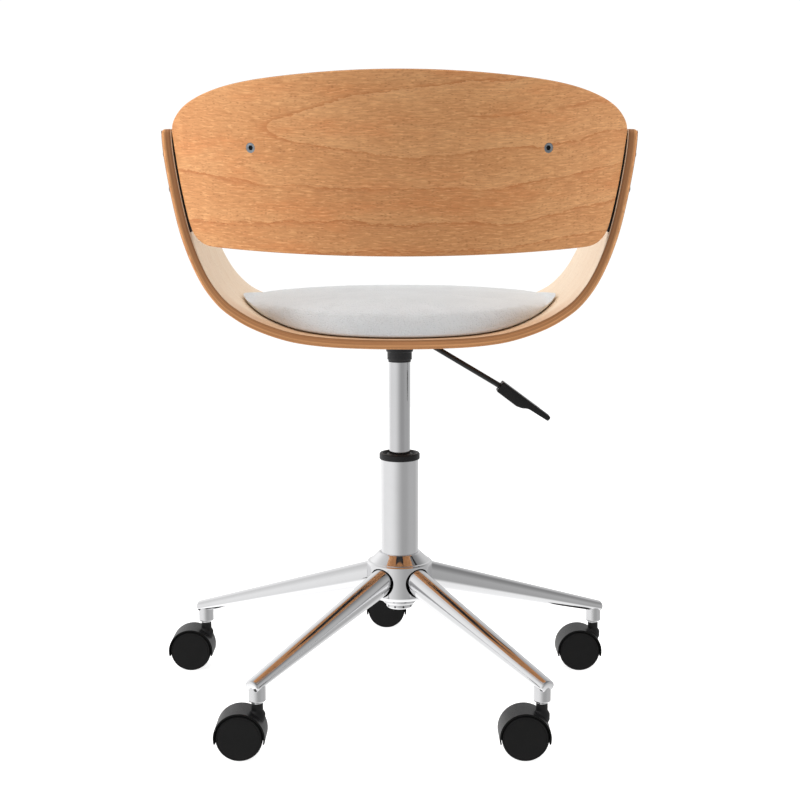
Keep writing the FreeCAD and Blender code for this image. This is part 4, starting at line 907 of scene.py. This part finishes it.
def subdivided(ob):
    m = ob.modifiers.new("sub", "SUBSURF")
    m.levels = m.render_levels = 1
    dg = bpy.context.evaluated_depsgraph_get()
    me = bpy.data.meshes.new_from_object(ob.evaluated_get(dg))
    ob.modifiers.clear()
    old, ob.data = ob.data, me
    bpy.data.meshes.remove(old)
    me.shade_smooth()


# seat cushion: a crowned pad that lies on the shell and runs up its sides to a thin rounded edge
CY = 115.0
SIDE = [(0, 4), (47, 5.5), (83, 10.5), (121, 21.5), (150, 37), (168, 52), (183, 73), (192.5, 94), (196.5, 115), (196, 132),
        (193.5, 160), (189.5, 200), (183.5, 240), (172, 280), (151, 315), (120, 345), (86, 365), (45, 376.5), (0, 380)]
_plan = through(SIDE + [(-a, b) for a, b in SIDE[-2::-1]], 1441)
_turn = np.unwrap(np.arctan2(_plan[:, 1] - CY, _plan[:, 0]))
_far = np.hypot(_plan[:, 0], _plan[:, 1] - CY)


def plan_reach(ang):
    """Distance from the plan's centre to its outline, at an angle."""
    return np.interp(np.mod(np.asarray(ang) + math.pi / 2, 2 * math.pi) - math.pi / 2, _turn, _far)


def plan_rho(x, y):
    return np.hypot(x, y - CY) / plan_reach(np.arctan2(y - CY, x))


_ss = np.linspace(-S_MAX, S_MAX, 6001)
_ix, _iz = u_section(_ss, 12.9)
_ok = np.abs(_ix) < 262


def bed(x):
    """Height of the shell's inner face, and a little air."""
    return np.interp(x, _ix[_ok], _iz[_ok])


def cushion_mesh():
    seg = 168
    at = np.round(np.linspace(0, 1440, seg, endpoint=False)).astype(int)
    ux, uy = _plan[at, 0], _plan[at, 1] - CY
    reach = np.hypot(ux, uy)
    rim = 3.4
    d_rows = np.concatenate([[0, 0.25, 0.8, 1.6, 2.7, 4.0, 5.6, 7.5, 9.8, 12.5, 15.6, 19.0, 23.0], np.linspace(27.5, 184.0, 27)])

    def crown(x, y):
        front = np.where(y > 205, 8.5 * ((y - 205) / 170.0) ** 2, 2.0 * ((205 - y) / 200.0) ** 2)
        return 53.4 - 2.6 * (np.abs(x) / 190.0) ** 3.2 - front

    verts, faces = [], []
    for layer in (0, 1):
        for d in d_rows:
            rho = 1 - d / 190.0
            x, y = ux * rho, CY + uy * rho
            d_mm = d * reach / 190.0
            base = bed(x) + 0.5
            if layer == 0:
                high = np.maximum(crown(x, y), base + rim + 1.8)
                w = np.clip(d_mm / (12.0 + 22.0 * np.clip((high - base) / 38.0, 0, 1)), 0, 1)
                z = base + rim + (high - base - rim) * np.sqrt(1 - (1 - w) ** 2)
            else:
                w = np.clip(d_mm / 4.4, 0, 1)
                z = base + rim * (1 - np.sqrt(1 - (1 - w) ** 2))
            verts += list(zip(x, y, z))
    verts.append((0, CY, float(crown(np.array([0.0]), np.array([CY]))[0])))
    verts.append((0, CY, float(bed(0.0)) + 0.5))
    per = len(d_rows)
    for layer in (0, 1):
        off, c = layer * per * seg, 2 * per * seg + layer
        for k in range(seg):
            k2 = (k + 1) % seg
            last = off + (per - 1) * seg
            faces.append((c, last + k, last + k2))
            for i in range(per - 1):
                faces.append((off + i * seg + k, off + (i + 1) * seg + k, off + (i + 1) * seg + k2, off + i * seg + k2))
    return verts, faces


v, f = cushion_mesh()
cushion = build("seat_pad_cover", v, f, placed(), mats=[COVER], sharp=0, weld=0.01)


def hold_bottom(co):
    x, y, z = co[:, 0] / MM, co[:, 1] / MM, co[:, 2] / MM
    above = z - bed(x)
    rho = plan_rho(x, y)
    low = np.clip(1 - (above - 2.5) / 4.0, 0, 1)
    rim = np.clip((rho - 0.90) / 0.06, 0, 1)
    return np.clip(np.maximum(low, rim), 0, 1)


cloth_puff(cushion, hold_bottom, 0.0045, pressure=3.0)
co = coords(cushion.data)
inside = np.clip((0.93 - plan_rho(co[:, 0] / MM, co[:, 1] / MM)) / 0.05, 0, 1)
smooth_verts(cushion.data, 6, 0.5, inside)
co = coords(cushion.data)
x, z = co[:, 0] / MM, co[:, 2] / MM
floor_z = bed(x) + 0.2
co[:, 2] = np.maximum(z, floor_z) * MM
cushion.data.vertices.foreach_set("co", co.ravel())
subdivided(cushion)
co = coords(cushion.data)
x, y, z = co[:, 0] / MM, co[:, 1] / MM, co[:, 2] / MM
rho = plan_rho(x, y)
ang = np.arctan2(y - CY, x)
# faint puckers where the cover is drawn over the edge
pull = 0.35 * np.sin(ang * 61 + 2.2 * np.sin(ang * 7)) + 0.22 * np.sin(ang * 97 + 1.0)
edge_w = np.exp(-((rho - 0.955) / 0.035) ** 2) * np.clip((z - bed(x) - 2) / 5, 0, 1)
co[:, 2] += pull * edge_w * MM
co[:, 2] = np.maximum(co[:, 2], (bed(x) + 0.15) * MM)
cushion.data.vertices.foreach_set("co", co.ravel())
cushion.data.transform(Matrix.Translation(Vector((0, -195.0, 486.8)) * MM) @ about("X", 0.8))
cushion.data.update()
cushion.data.materials.clear()
cushion.data.materials.append(COVER)
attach(cushion, "seat")
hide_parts("seat_cushion")

# back pad: a bent crowned pad over its board
PA, PB = 196.0, 78.0


def pad_mesh():
    rings, seg = 36, 200
    th = np.linspace(0, 2 * math.pi, seg, endpoint=False)
    ux = np.sign(np.cos(th)) * np.abs(np.cos(th)) ** 0.72
    uz = np.sign(np.sin(th)) * np.abs(np.sin(th)) ** 0.78
    verts, faces = [], []
    rr = 1 - (1 - np.linspace(0, 1, rings)) ** 1.8
    back = 16.3
    for layer in (0, 1):
        for rho in rr[1:]:
            x, z = PA * ux * rho, 1.0 + PB * uz * rho
            d = (1 - rho) * 90.0
            f = math.sqrt(max(0.0, 1 - (1 - min(d / 26.0, 1)) ** 2))
            if layer == 0:
                depth = back + 3.0 + (17.5 + 2.0 * (1 - rho ** 2) - 3.0) * f
            else:
                depth = back + 1.6 * rho ** 24
            r = RP - depth
            y = RP - np.sqrt(r * r - x * x)
            verts += list(zip(x, y, z))
    for depth in (back + 19.5, back):
        verts.append((0, depth, 1.0))
    per = rings - 1
    for layer in (0, 1):
        off, c = layer * per * seg, 2 * per * seg + layer
        for k in range(seg):
            k2 = (k + 1) % seg
            faces.append((c, off + k, off + k2))
            for i in range(per - 1):
                faces.append((off + i * seg + k, off + (i + 1) * seg + k, off + (i + 1) * seg + k2, off + i * seg + k2))
    a, b = (per - 1) * seg, per * seg + (per - 1) * seg
    for k in range(seg):
        k2 = (k + 1) % seg
        faces.append((a + k, b + k, b + k2, a + k2))
    return verts, faces


v, f = pad_mesh()
pad = build("back_pad_cover", v, f, placed(), mats=[COVER], sharp=0)


def pad_depth(co):
    x, y = co[:, 0] / MM, co[:, 1] / MM
    return RP - np.sqrt((RP - y) ** 2 + x ** 2)


def hold_back(co):
    d = pad_depth(co)
    return np.clip(1 - (d - 18.5) / 4.0, 0, 1)


cloth_puff(pad, hold_back, 0.004, pressure=3.0, voxel=0.0044)
smooth_verts(pad.data, 6, 0.5)
subdivided(pad)
pad.data.transform(Matrix.Translation(Vector((0, -298.0, 700.0)) * MM) @ about("X", 7.5))
pad.data.update()
pad.data.materials.clear()
pad.data.materials.append(COVER)
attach(pad, "seat")
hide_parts("back_pad")

# ------------------------------------------------------------------------------------ column and lift
def part(name, corners, mat, body, node, slot, **more):
    ob = lathe(name, corners, mat, **more)
    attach(ob, body)
    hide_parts(node)
    return ob


part("tube_50", [(23.5, 129.6, 0.2), (25.0, 129.6, 0.2), (25.0, 319.4, 0.6), (23.5, 319.4, 0.4)], CHROME_SOFT, "base",
     "column_tube", "chrome", seg=160)
part("tube_collar", [(14.45, 319.5, 0.2), (26.4, 319.5, 0.3), (27.0, 320.3, 0.4), (27.0, 326.4, 0.9), (26.2, 327.8, 0.6),
                     (24.8, 328.2, 0.6), (22.8, 327.6, 0.8), (21.2, 324.8, 0.9), (18.8, 324.2, 0.9), (17.2, 326.4, 0.6),
                     (15.8, 327.0, 0.5), (14.45, 326.0, 0.4)], BLACK_PLASTIC, "base", "column_collar", "black_plastic", seg=128)
part("lift_28", [(11.5, 255.0, 0.1), (13.4, 255.0, 0.2), (14.0, 255.8, 0.4), (14.0, 450.2, 1.0), (13.2, 473.2, 0.3),
                 (12.4, 474.0, 0.3), (3.56, 474.0, 0.1), (3.56, 430.0, 0), (0, 430.0, 0), (0, 396.0, 0), (11.5, 396.0, 0.5)],
     CHROME_LIFT_SHADED, "seat", "gas_cylinder", "chrome", seg=128)
part("socket_collar", [(14.05, 450.0, 0.1), (14.9, 450.0, 0.3), (15.0, 453.0, 0.4), (15.7, 453.0, 0.3), (16.2, 453.8, 0.4),
                       (16.2, 463.0, 0.6), (17.8, 464.0, 0.6), (17.8, 471.0, 0.6), (16.2, 472.0, 0.5), (16.2, 488.4, 0.2),
                       (13.3, 488.4, 0.2), (13.3, 473.4, 0.2)], BLACK_METAL, "seat", "taper_socket", "black_metal", seg=96)
part("hub_beads", [(5.06, 120.8, 0.1), (5.06, 134.9, 0.1), (23.4, 134.9, 0.2), (23.4, 129.0, 0.1), (21.4, 129.0, 0.3),
                   (22.6, 127.8, 0.8), (23.0, 125.8, 1.4), (22.6, 123.8, 1.0), (21.2, 122.4, 0.5), (17.2, 122.4, 0.4),
                   (18.0, 120.4, 1.0), (18.0, 117.4, 1.0), (16.4, 115.6, 0.6), (9.0, 115.6, 0.3), (9.0, 120.8, 0.2)],
     CHROME, "base", "hub_lower_collar", "chrome", seg=128)


# hub: a drum with a conical top and five round mouths
def hub_object():
    blank = lathe("hub_blank", [(25.02, 129.2, 0.1), (27.0, 129.2, 0.5), (39.0, 132.4, 2.0), (42.8, 135.4, 2.0), (44.0, 137.0, 2.0),
                                (44.0, 178.6, 1.6), (42.2, 180.5, 1.0), (39.8, 181.0, 1.0), (28.8, 191.7, 0.7), (27.6, 192.5, 0.5),
                                (25.6, 192.5, 0.3), (25.02, 191.7, 0.1)], CHROME, seg=240, steps=4)
    tools = []
    slope = math.radians(15.1)
    for k in range(5):
        a = math.radians(90 + AZIMUTHS[k])
        d = Vector((math.cos(a), math.sin(a), 0))
        axis = Vector((d.x * math.cos(slope), d.y * math.cos(slope), -math.sin(slope)))
        start = d * 33.0 + Vector((0, 0, 160.2)) - axis * 6.8
        rot = Vector((0, 0, 1)).rotation_difference(axis).to_matrix()
        verts, faces = lathe_mesh([(0, 0), (18.9, 0), (18.9, 60), (0, 60)], seg=128)
        t = build("mouth_tool_%d" % k, verts, faces, placed(start, rot), mats=[CHROME])
        tools.append(t)
        m = blank.modifiers.new("mouth%d" % k, "BOOLEAN")
        m.operation, m.object, m.solver = "DIFFERENCE", t, "EXACT"
    b = blank.modifiers.new("soften", "BEVEL")
    b.width, b.segments, b.limit_method, b.angle_limit = 0.0009, 3, "ANGLE", math.radians(38)
    b.harden_normals = False
    dg = bpy.context.evaluated_depsgraph_get()
    me = bpy.data.meshes.new_from_object(blank.evaluated_get(dg))
    blank.modifiers.clear()
    blank.data = me
    for t in tools:
        bpy.data.objects.remove(t)
    me.shade_smooth()
    me.set_sharp_from_angle(angle=math.radians(30))
    blank.name = "hub_casting"
    return blank


hub = hub_object()
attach(hub, "base")
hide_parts("base_hub")

# arms: tapering oval tubes with a post for the castor's stem under the tip
SLOPE = math.radians(15.1)


def arm_object(k):
    rings = []
    seg = 88
    length = 300.6 - 33.0
    stops = list(np.linspace(0.0, 1.0 - 3.2 / length, 60))
    end = [1.0 - 3.2 / length * (1 - math.sin(q)) for q in np.linspace(0.12, math.pi / 2, 7)]
    for t in stops + end:
        wide, tall = 16.4 + (10.4 - 16.4) * t, 18.2 + (7.6 - 18.2) * t
        gone = max(0.0, 1 - (1 - t) * length / 3.2)
        shrink = 2.4 * (1 - math.sqrt(max(0.0, 1 - gone * gone))) if gone > 0 else 0.0
        wide, tall = wide - shrink, tall - shrink
        c = Vector((33.0 + length * t, 0, 160.2 - 72.2 * t))
        up = Vector((math.sin(SLOPE), 0, math.cos(SLOPE)))
        rings.append([tuple(c + Vector((0, wide * math.cos(a), 0)) + up * (tall * math.sin(a)))
                      for a in (2 * math.pi * q / seg for q in range(seg))])
    turn = about("Z", 90 + AZIMUTHS[k])
    tube = loft("arm_tube", rings, CHROME, turn @ placed())
    post = lathe("arm_post", [(5.5, 68.6, 0.2), (10.5, 68.6, 1.6), (10.5, 88.4, 0.8), (5.5, 88.4, 0.2)], CHROME_SOFT,
                 turn @ placed((290.0, 0, 0)), seg=72)
    return join("arm_%d_chromed" % (k + 1), [tube, post])


for k in range(5):
    arm = arm_object(k)
    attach(arm, "base")
    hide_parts("base_arm_%d" % (k + 1))

# ------------------------------------------------------------------------------------ lever
def sweep(name, line, radius, mat, seg=32, matrix=None):
    line = np.asarray(line, float)
    t = np.gradient(line, axis=0)
    t /= np.linalg.norm(t, axis=1)[:, None]
    side = np.array([0.0, 1.0, 0.0])
    rings = []
    for p, d in zip(line, t):
        up = np.cross(side, d)
        up /= np.linalg.norm(up)
        rings.append([tuple(p + radius * (math.cos(a) * side + math.sin(a) * up)) for a in (2 * math.pi * q / seg for q in range(seg))])
    return loft(name, rings, mat, matrix, sharp=50)


ls = math.radians(30.8)
bend = rounded([(-1.0, 482.7, 0), (24.0, 482.7, 9.0), (24.0 + 141 * math.cos(ls), 482.7 - 141 * math.sin(ls), 0)], 10, closed=False)
rod = sweep("height_rod", [(p[0], 0, p[1]) for p in bend], 3.6, BLACK_ROD)
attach(rod, "lever")
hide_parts("lever_rod")


def grip_object():
    outline = [(128.3, 411.4), (154.4, 391.6), (162.0, 388.6), (170.0, 388.2), (196.7, 371.4), (200.9, 376.5), (136.9, 424.1)]
    prof = rounded([(a, b, r) for (a, b), r in zip(outline, (1.6, 14.0, 14.0, 12.0, 2.2, 2.2, 1.8))], 6)
    prof = [(p[0], p[1]) for p in prof]
    half = 11.5
    n = len(prof)
    nrm = []
    for i in range(n):
        a, b = np.array(prof[i - 1]), np.array(prof[(i + 1) % n])
        d = b - a
        q = np.array([d[1], -d[0]])
        q /= max(np.linalg.norm(q), 1e-9)
        nrm.append(q)
    area = sum(prof[i][0] * prof[(i + 1) % n][1] - prof[(i + 1) % n][0] * prof[i][1] for i in range(n))
    sgn = 1 if area > 0 else -1
    ys = [(-half, 1.5), (-half + 0.12, 1.0), (-half + 0.45, 0.5), (-half + 0.95, 0.18), (-half + 1.5, 0.03), (-half + 2.2, 0.0)]
    ys = ys + [(-y, i) for y, i in reversed(ys)]
    rings = []
    for y, ins in ys:
        rings.append([(p[0] - sgn * q[0] * ins, y, p[1] - sgn * q[1] * ins) for p, q in zip(prof, nrm)])
    return loft("height_grip", rings, BLACK_PLASTIC, sharp=45)


grip = grip_object()
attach(grip, "lever")
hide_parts("lever_handle")

# ------------------------------------------------------------------------------------ castors
def hood_object(tag, ax, ay, sx):
    """Hood, web, neck: the frame between and over the two wheels."""
    rows = []
    ro, ri, half = 31.0, 29.1, 20.5
    sect = rounded([(ri, -half, 0.3), (ro, -half, 0.8), (ro, half, 0.8), (ri, half, 0.3)], 4)
    arc = np.radians(np.linspace(-13.0, 193.0, 97))
    rings = [[(p[0] * math.cos(a), p[1], p[0] * math.sin(a)) for p in sect] for a in arc]
    verts = [p for r in rings for p in r]
    seg = len(sect)
    faces, fm = [], []
    for i in range(len(rings) - 1):
        for k in range(seg):
            k2 = (k + 1) % seg
            faces.append((i * seg + k, i * seg + k2, (i + 1) * seg + k2, (i + 1) * seg + k))
            r_mid = 0.5 * (sect[k][0] + sect[k2][0])
            y_mid = 0.5 * abs(sect[k][1] + sect[k2][1])
            fm.append(0 if r_mid > ro - 0.25 and y_mid < half - 0.4 else 1)
    for i in (0, len(rings) - 1):
        faces.append(tuple(i * seg + k for k in range(seg)))
        fm.append(1)
    at = placed((ax, ay, 28.3))
    hood = build("hood", verts, faces, at, mats=[HOOD, BLACK_RIM], face_mats=fm)
    # web between the wheels: the same half round, filled, over a full boss
    prof = [(30.2 * math.cos(a), 30.2 * math.sin(a)) for a in np.radians(np.linspace(-13.0, 193.0, 60))]
    low = [(20.3 * math.cos(a), 20.3 * math.sin(a)) for a in np.radians(np.linspace(193.0, 347.0, 30))][1:-1]
    loop = prof + low
    ys = [(-7.0, 0.6), (-6.8, 0.15), (-6.2, 0.0), (6.2, 0.0), (6.8, 0.15), (7.0, 0.6)]
    web = loft("web", [[(x * (1 - i / 40), y, z * (1 - i / 40)) for x, z in loop] for y, i in ys], BLACK_PLASTIC, at)
    flare = [(9.6, 53.0, 0), (8.6, 55.0, 1.5), (7.1, 57.4, 1.5), (7.0, 65.9, 0.9), (4.1, 65.9, 0.2), (4.1, 40.0, 0), (7.0, 40.0, 0), (9.6, 46.0, 0)]
    neck = lathe("neck", flare, BLACK_PLASTIC, placed((sx, ay, 0)), seg=56)
    return join("castor_%s_hood" % tag, [hood, web, neck])


def wheel_object(name, ax, ay, side):
    corners = [(3.05, 7.4, 0.2), (27.1, 7.4, 0.9), (28.3, 8.6, 0.9), (28.3, 17.4, 1.6), (27.6, 18.9, 1.2), (26.6, 19.9, 0.5),
               (25.9, 20.0, 0.2), (25.5, 19.55, 0.25), (24.9, 19.5, 0.3), (23.9, 19.85, 0.4), (12.0, 19.95, 0), (0, 20.0, 0),
               (0, 16.6, 0), (3.05, 16.6, 0.1)]
    rot = about("X", 90) if side == "rear" else about("X", -90)
    at = placed((ax, ay, 28.3), rot)
    v, f = lathe_mesh(corners, seg=112, steps=4)
    fm = []
    for q in f:
        r = sum(math.hypot(v[i][0], v[i][1]) for i in q) / len(q)
        z = sum(v[i][2] for i in q) / len(q)
        fm.append(1 if r > 25.6 or z < 10 else 0)
    return build(name, v, f, at, mats=[DISC, RUBBER_AND_SHADE], face_mats=fm)


for k in range(5):
    a = math.radians(90 + AZIMUTHS[k])
    sx, sy = 290.0 * math.cos(a), 290.0 * math.sin(a)
    ax = sx - 20.5
    hood = hood_object(str(k + 1), ax, sy, sx)
    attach(hood, "castor_%d" % (k + 1))
    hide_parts("castor_frame_%d" % (k + 1))
    for side in ("rear", "front"):
        w = wheel_object("castor_%d_disc_%s" % (k + 1, side), ax, sy, side)
        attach(w, "wheel_%d_%s" % (k + 1, side))
        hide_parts("castor_wheel_%d_%s" % (k + 1, side))

# ------------------------------------------------------------------------------------ carried-over nodes
CARRIED = {
    "arm_root_rings": RUBBER_AND_SHADE, "guide_sleeve": NATURAL, "thrust_bearing": STEEL, "piston_rod": STEEL, "piston_head": NATURAL,
    "retaining_clip": STEEL, "cylinder_end_cap": BLACK_PLASTIC, "release_pin": STEEL, "seat_plate": BLACK_METAL,
    "plate_bolts": ZINC, "lever_pivot_pin": STEEL, "back_pad_board": BOARD_WOOD, "back_t_nuts": ZINC,
    # painted shade: the panel gaskets are black strips in the line between the panel's ends and the arms, a line of
    # deep shade
    "panel_gasket_left": RUBBER_AND_SHADE, "panel_gasket_right": RUBBER_AND_SHADE,
}
for k in range(1, 6):
    CARRIED["castor_stem_%d" % k] = CHROME_SOFT
    CARRIED["castor_axle_%d" % k] = STEEL
for name, mat in CARRIED.items():
    ob = NODES[name]
    ob.data.materials.clear()
    ob.data.materials.append(mat)

# ------------------------------------------------------------------------------------ studio
floor = build("studio_floor", [(-2.2, -1.0, 0), (2.2, -1.0, 0), (2.2, 2.6, 0), (-2.2, 2.6, 0)], [(0, 1, 2, 3)],
              Matrix.Translation((0, 0, -0.0002)), sharp=0)
paper = bpy.data.materials.new("white_paper")
paper.use_nodes = True
pt = paper.node_tree
pt.nodes.clear()
p_out = pt.nodes.new("ShaderNodeOutputMaterial")
p_sum = pt.nodes.new("ShaderNodeAddShader")
p_dif = pt.nodes.new("ShaderNodeBsdfDiffuse")
p_emi = pt.nodes.new("ShaderNodeEmission")
p_path = pt.nodes.new("ShaderNodeLightPath")
p_noise = pt.nodes.new("ShaderNodeTexNoise")
p_ramp = pt.nodes.new("ShaderNodeValToRGB")
p_noise.inputs["Scale"].default_value = 3.0
p_ramp.color_ramp.elements[0].color = (0.60, 0.60, 0.60, 1)
p_ramp.color_ramp.elements[1].color = (0.62, 0.62, 0.62, 1)
pt.links.new(p_noise.outputs["Fac"], p_ramp.inputs["Fac"])
pt.links.new(p_ramp.outputs["Color"], p_dif.inputs["Color"])
p_cam = pt.nodes.new("ShaderNodeMath")
p_cam.operation = "MULTIPLY"
p_cam.inputs[1].default_value = GLOW
pt.links.new(p_path.outputs["Is Camera Ray"], p_cam.inputs[0])
pt.links.new(p_cam.outputs[0], p_emi.inputs["Strength"])
pt.links.new(p_dif.outputs[0], p_sum.inputs[0])
pt.links.new(p_emi.outputs[0], p_sum.inputs[1])
p_clear = pt.nodes.new("ShaderNodeBsdfTransparent")
p_mix = pt.nodes.new("ShaderNodeMixShader")
pt.links.new(p_path.outputs["Is Glossy Ray"], p_mix.inputs[0])
pt.links.new(p_sum.outputs[0], p_mix.inputs[1])
pt.links.new(p_clear.outputs[0], p_mix.inputs[2])
pt.links.new(p_mix.outputs[0], p_out.inputs["Surface"])
floor.data.materials.append(paper)

world = bpy.data.worlds.new("studio")
scene.world = world
world.use_nodes = True
wt = world.node_tree
wt.nodes.clear()


def wnode(kind, **props):
    n = wt.nodes.new(kind)
    for k, v in props.items():
        setattr(n, k, v)
    return n


def wlink(value, node, key):
    if isinstance(value, bpy.types.NodeSocket):
        wt.links.new(value, node.inputs[key])
    else:
        node.inputs[key].default_value = value


def wrange(value, lo, hi, a, b):
    n = wnode("ShaderNodeMapRange", clamp=True, interpolation_type="SMOOTHSTEP")
    for key, v in (("Value", value), ("From Min", lo), ("From Max", hi), ("To Min", a), ("To Max", b)):
        wlink(v, n, key)
    return n.outputs["Result"]


def wmath(op, a, b):
    n = wnode("ShaderNodeMath", operation=op)
    wlink(a, n, 0)
    wlink(b, n, 1)
    return n.outputs[0]


w_dir = wnode("ShaderNodeSeparateXYZ")
wt.links.new(wnode("ShaderNodeTexCoord").outputs["Generated"], w_dir.inputs[0])
wx, wy, wz = w_dir.outputs
level = wrange(wx, -0.9, 0.9, BACK_LEFT, BACK_RIGHT)
level = wmath("ADD", level, wrange(wz, 0.35, 0.95, 0.0, TOP_GLOW))
# what polished metal sees: a bright card to the left, the lit backdrop, white paper below, a dim ceiling
cards = wmath("ADD", wrange(wx, 0.40, -0.90, 0.0, CARD_LEFT), CARD)
cards = wmath("ADD", cards, wrange(wz, 0.35, 0.95, 0.0, CARD_TOP))
cards = wmath("ADD", cards, wrange(wz, -0.42, -0.80, 0.0, CARD_LOW))
cards = wmath("ADD", cards, wrange(wx, 0.60, 1.0, 0.0, 0.08))
cards = wmath("ADD", cards, wrange(wy, 0.25, 0.85, 0.0, CARD_BACK))
w_path = wnode("ShaderNodeLightPath")
w_gloss = wnode("ShaderNodeMix", data_type="FLOAT")
wlink(w_path.outputs["Is Glossy Ray"], w_gloss, 0)
wlink(level, w_gloss, 2)
wlink(cards, w_gloss, 3)
w_mix = wnode("ShaderNodeMix", data_type="FLOAT")
wlink(w_path.outputs["Is Camera Ray"], w_mix, 0)
wlink(w_gloss.outputs[0], w_mix, 2)
w_mix.inputs[3].default_value = 1.05
w_bg = wnode("ShaderNodeBackground")
w_bg.inputs["Color"].default_value = (1, 1, 1, 1)
wt.links.new(w_mix.outputs[0], w_bg.inputs["Strength"])
w_out = wnode("ShaderNodeOutputWorld")
wt.links.new(w_bg.outputs[0], w_out.inputs["Surface"])


def area(name, at, look, size, power, size_y=None):
    d = bpy.data.lights.new(name, "AREA")
    d.energy, d.size = power, size
    if size_y:
        d.shape, d.size_y = "RECTANGLE", size_y
    ob = bpy.data.objects.new(name, d)
    ob.location = at
    ob.rotation_euler = (Vector(look) - Vector(at)).to_track_quat("-Z", "Y").to_euler()
    ob.visible_glossy = False
    scene.collection.objects.link(ob)
    return ob


area("left_box", (-2.6, -0.7, 1.15), (0, 0, 0.5), 1.6, LEFT_POWER, 2.0)
area("right_box", (2.6, -0.7, 1.15), (0, 0, 0.5), 1.6, RIGHT_POWER, 2.0)
area("top_box", (0.0, 0.5, 2.6), (0, 0.05, 0.5), 1.8, TOP_POWER)

cam = bpy.data.cameras.new("camera")
cam.lens, cam.sensor_width, cam.sensor_fit = 62.67, 36.0, "HORIZONTAL"
cam.clip_start, cam.clip_end = 0.05, 50
cam_ob = bpy.data.objects.new("camera", cam)
cam_ob.location = (0.0005, -1.8336, 0.6622)
cam_ob.rotation_euler = (math.pi / 2 - 0.1428, 0, 0)
scene.collection.objects.link(cam_ob)
scene.camera = cam_ob
scene.view_settings.view_transform = "Standard"
scene.view_settings.look = "None"
scene.view_settings.exposure = 0.0
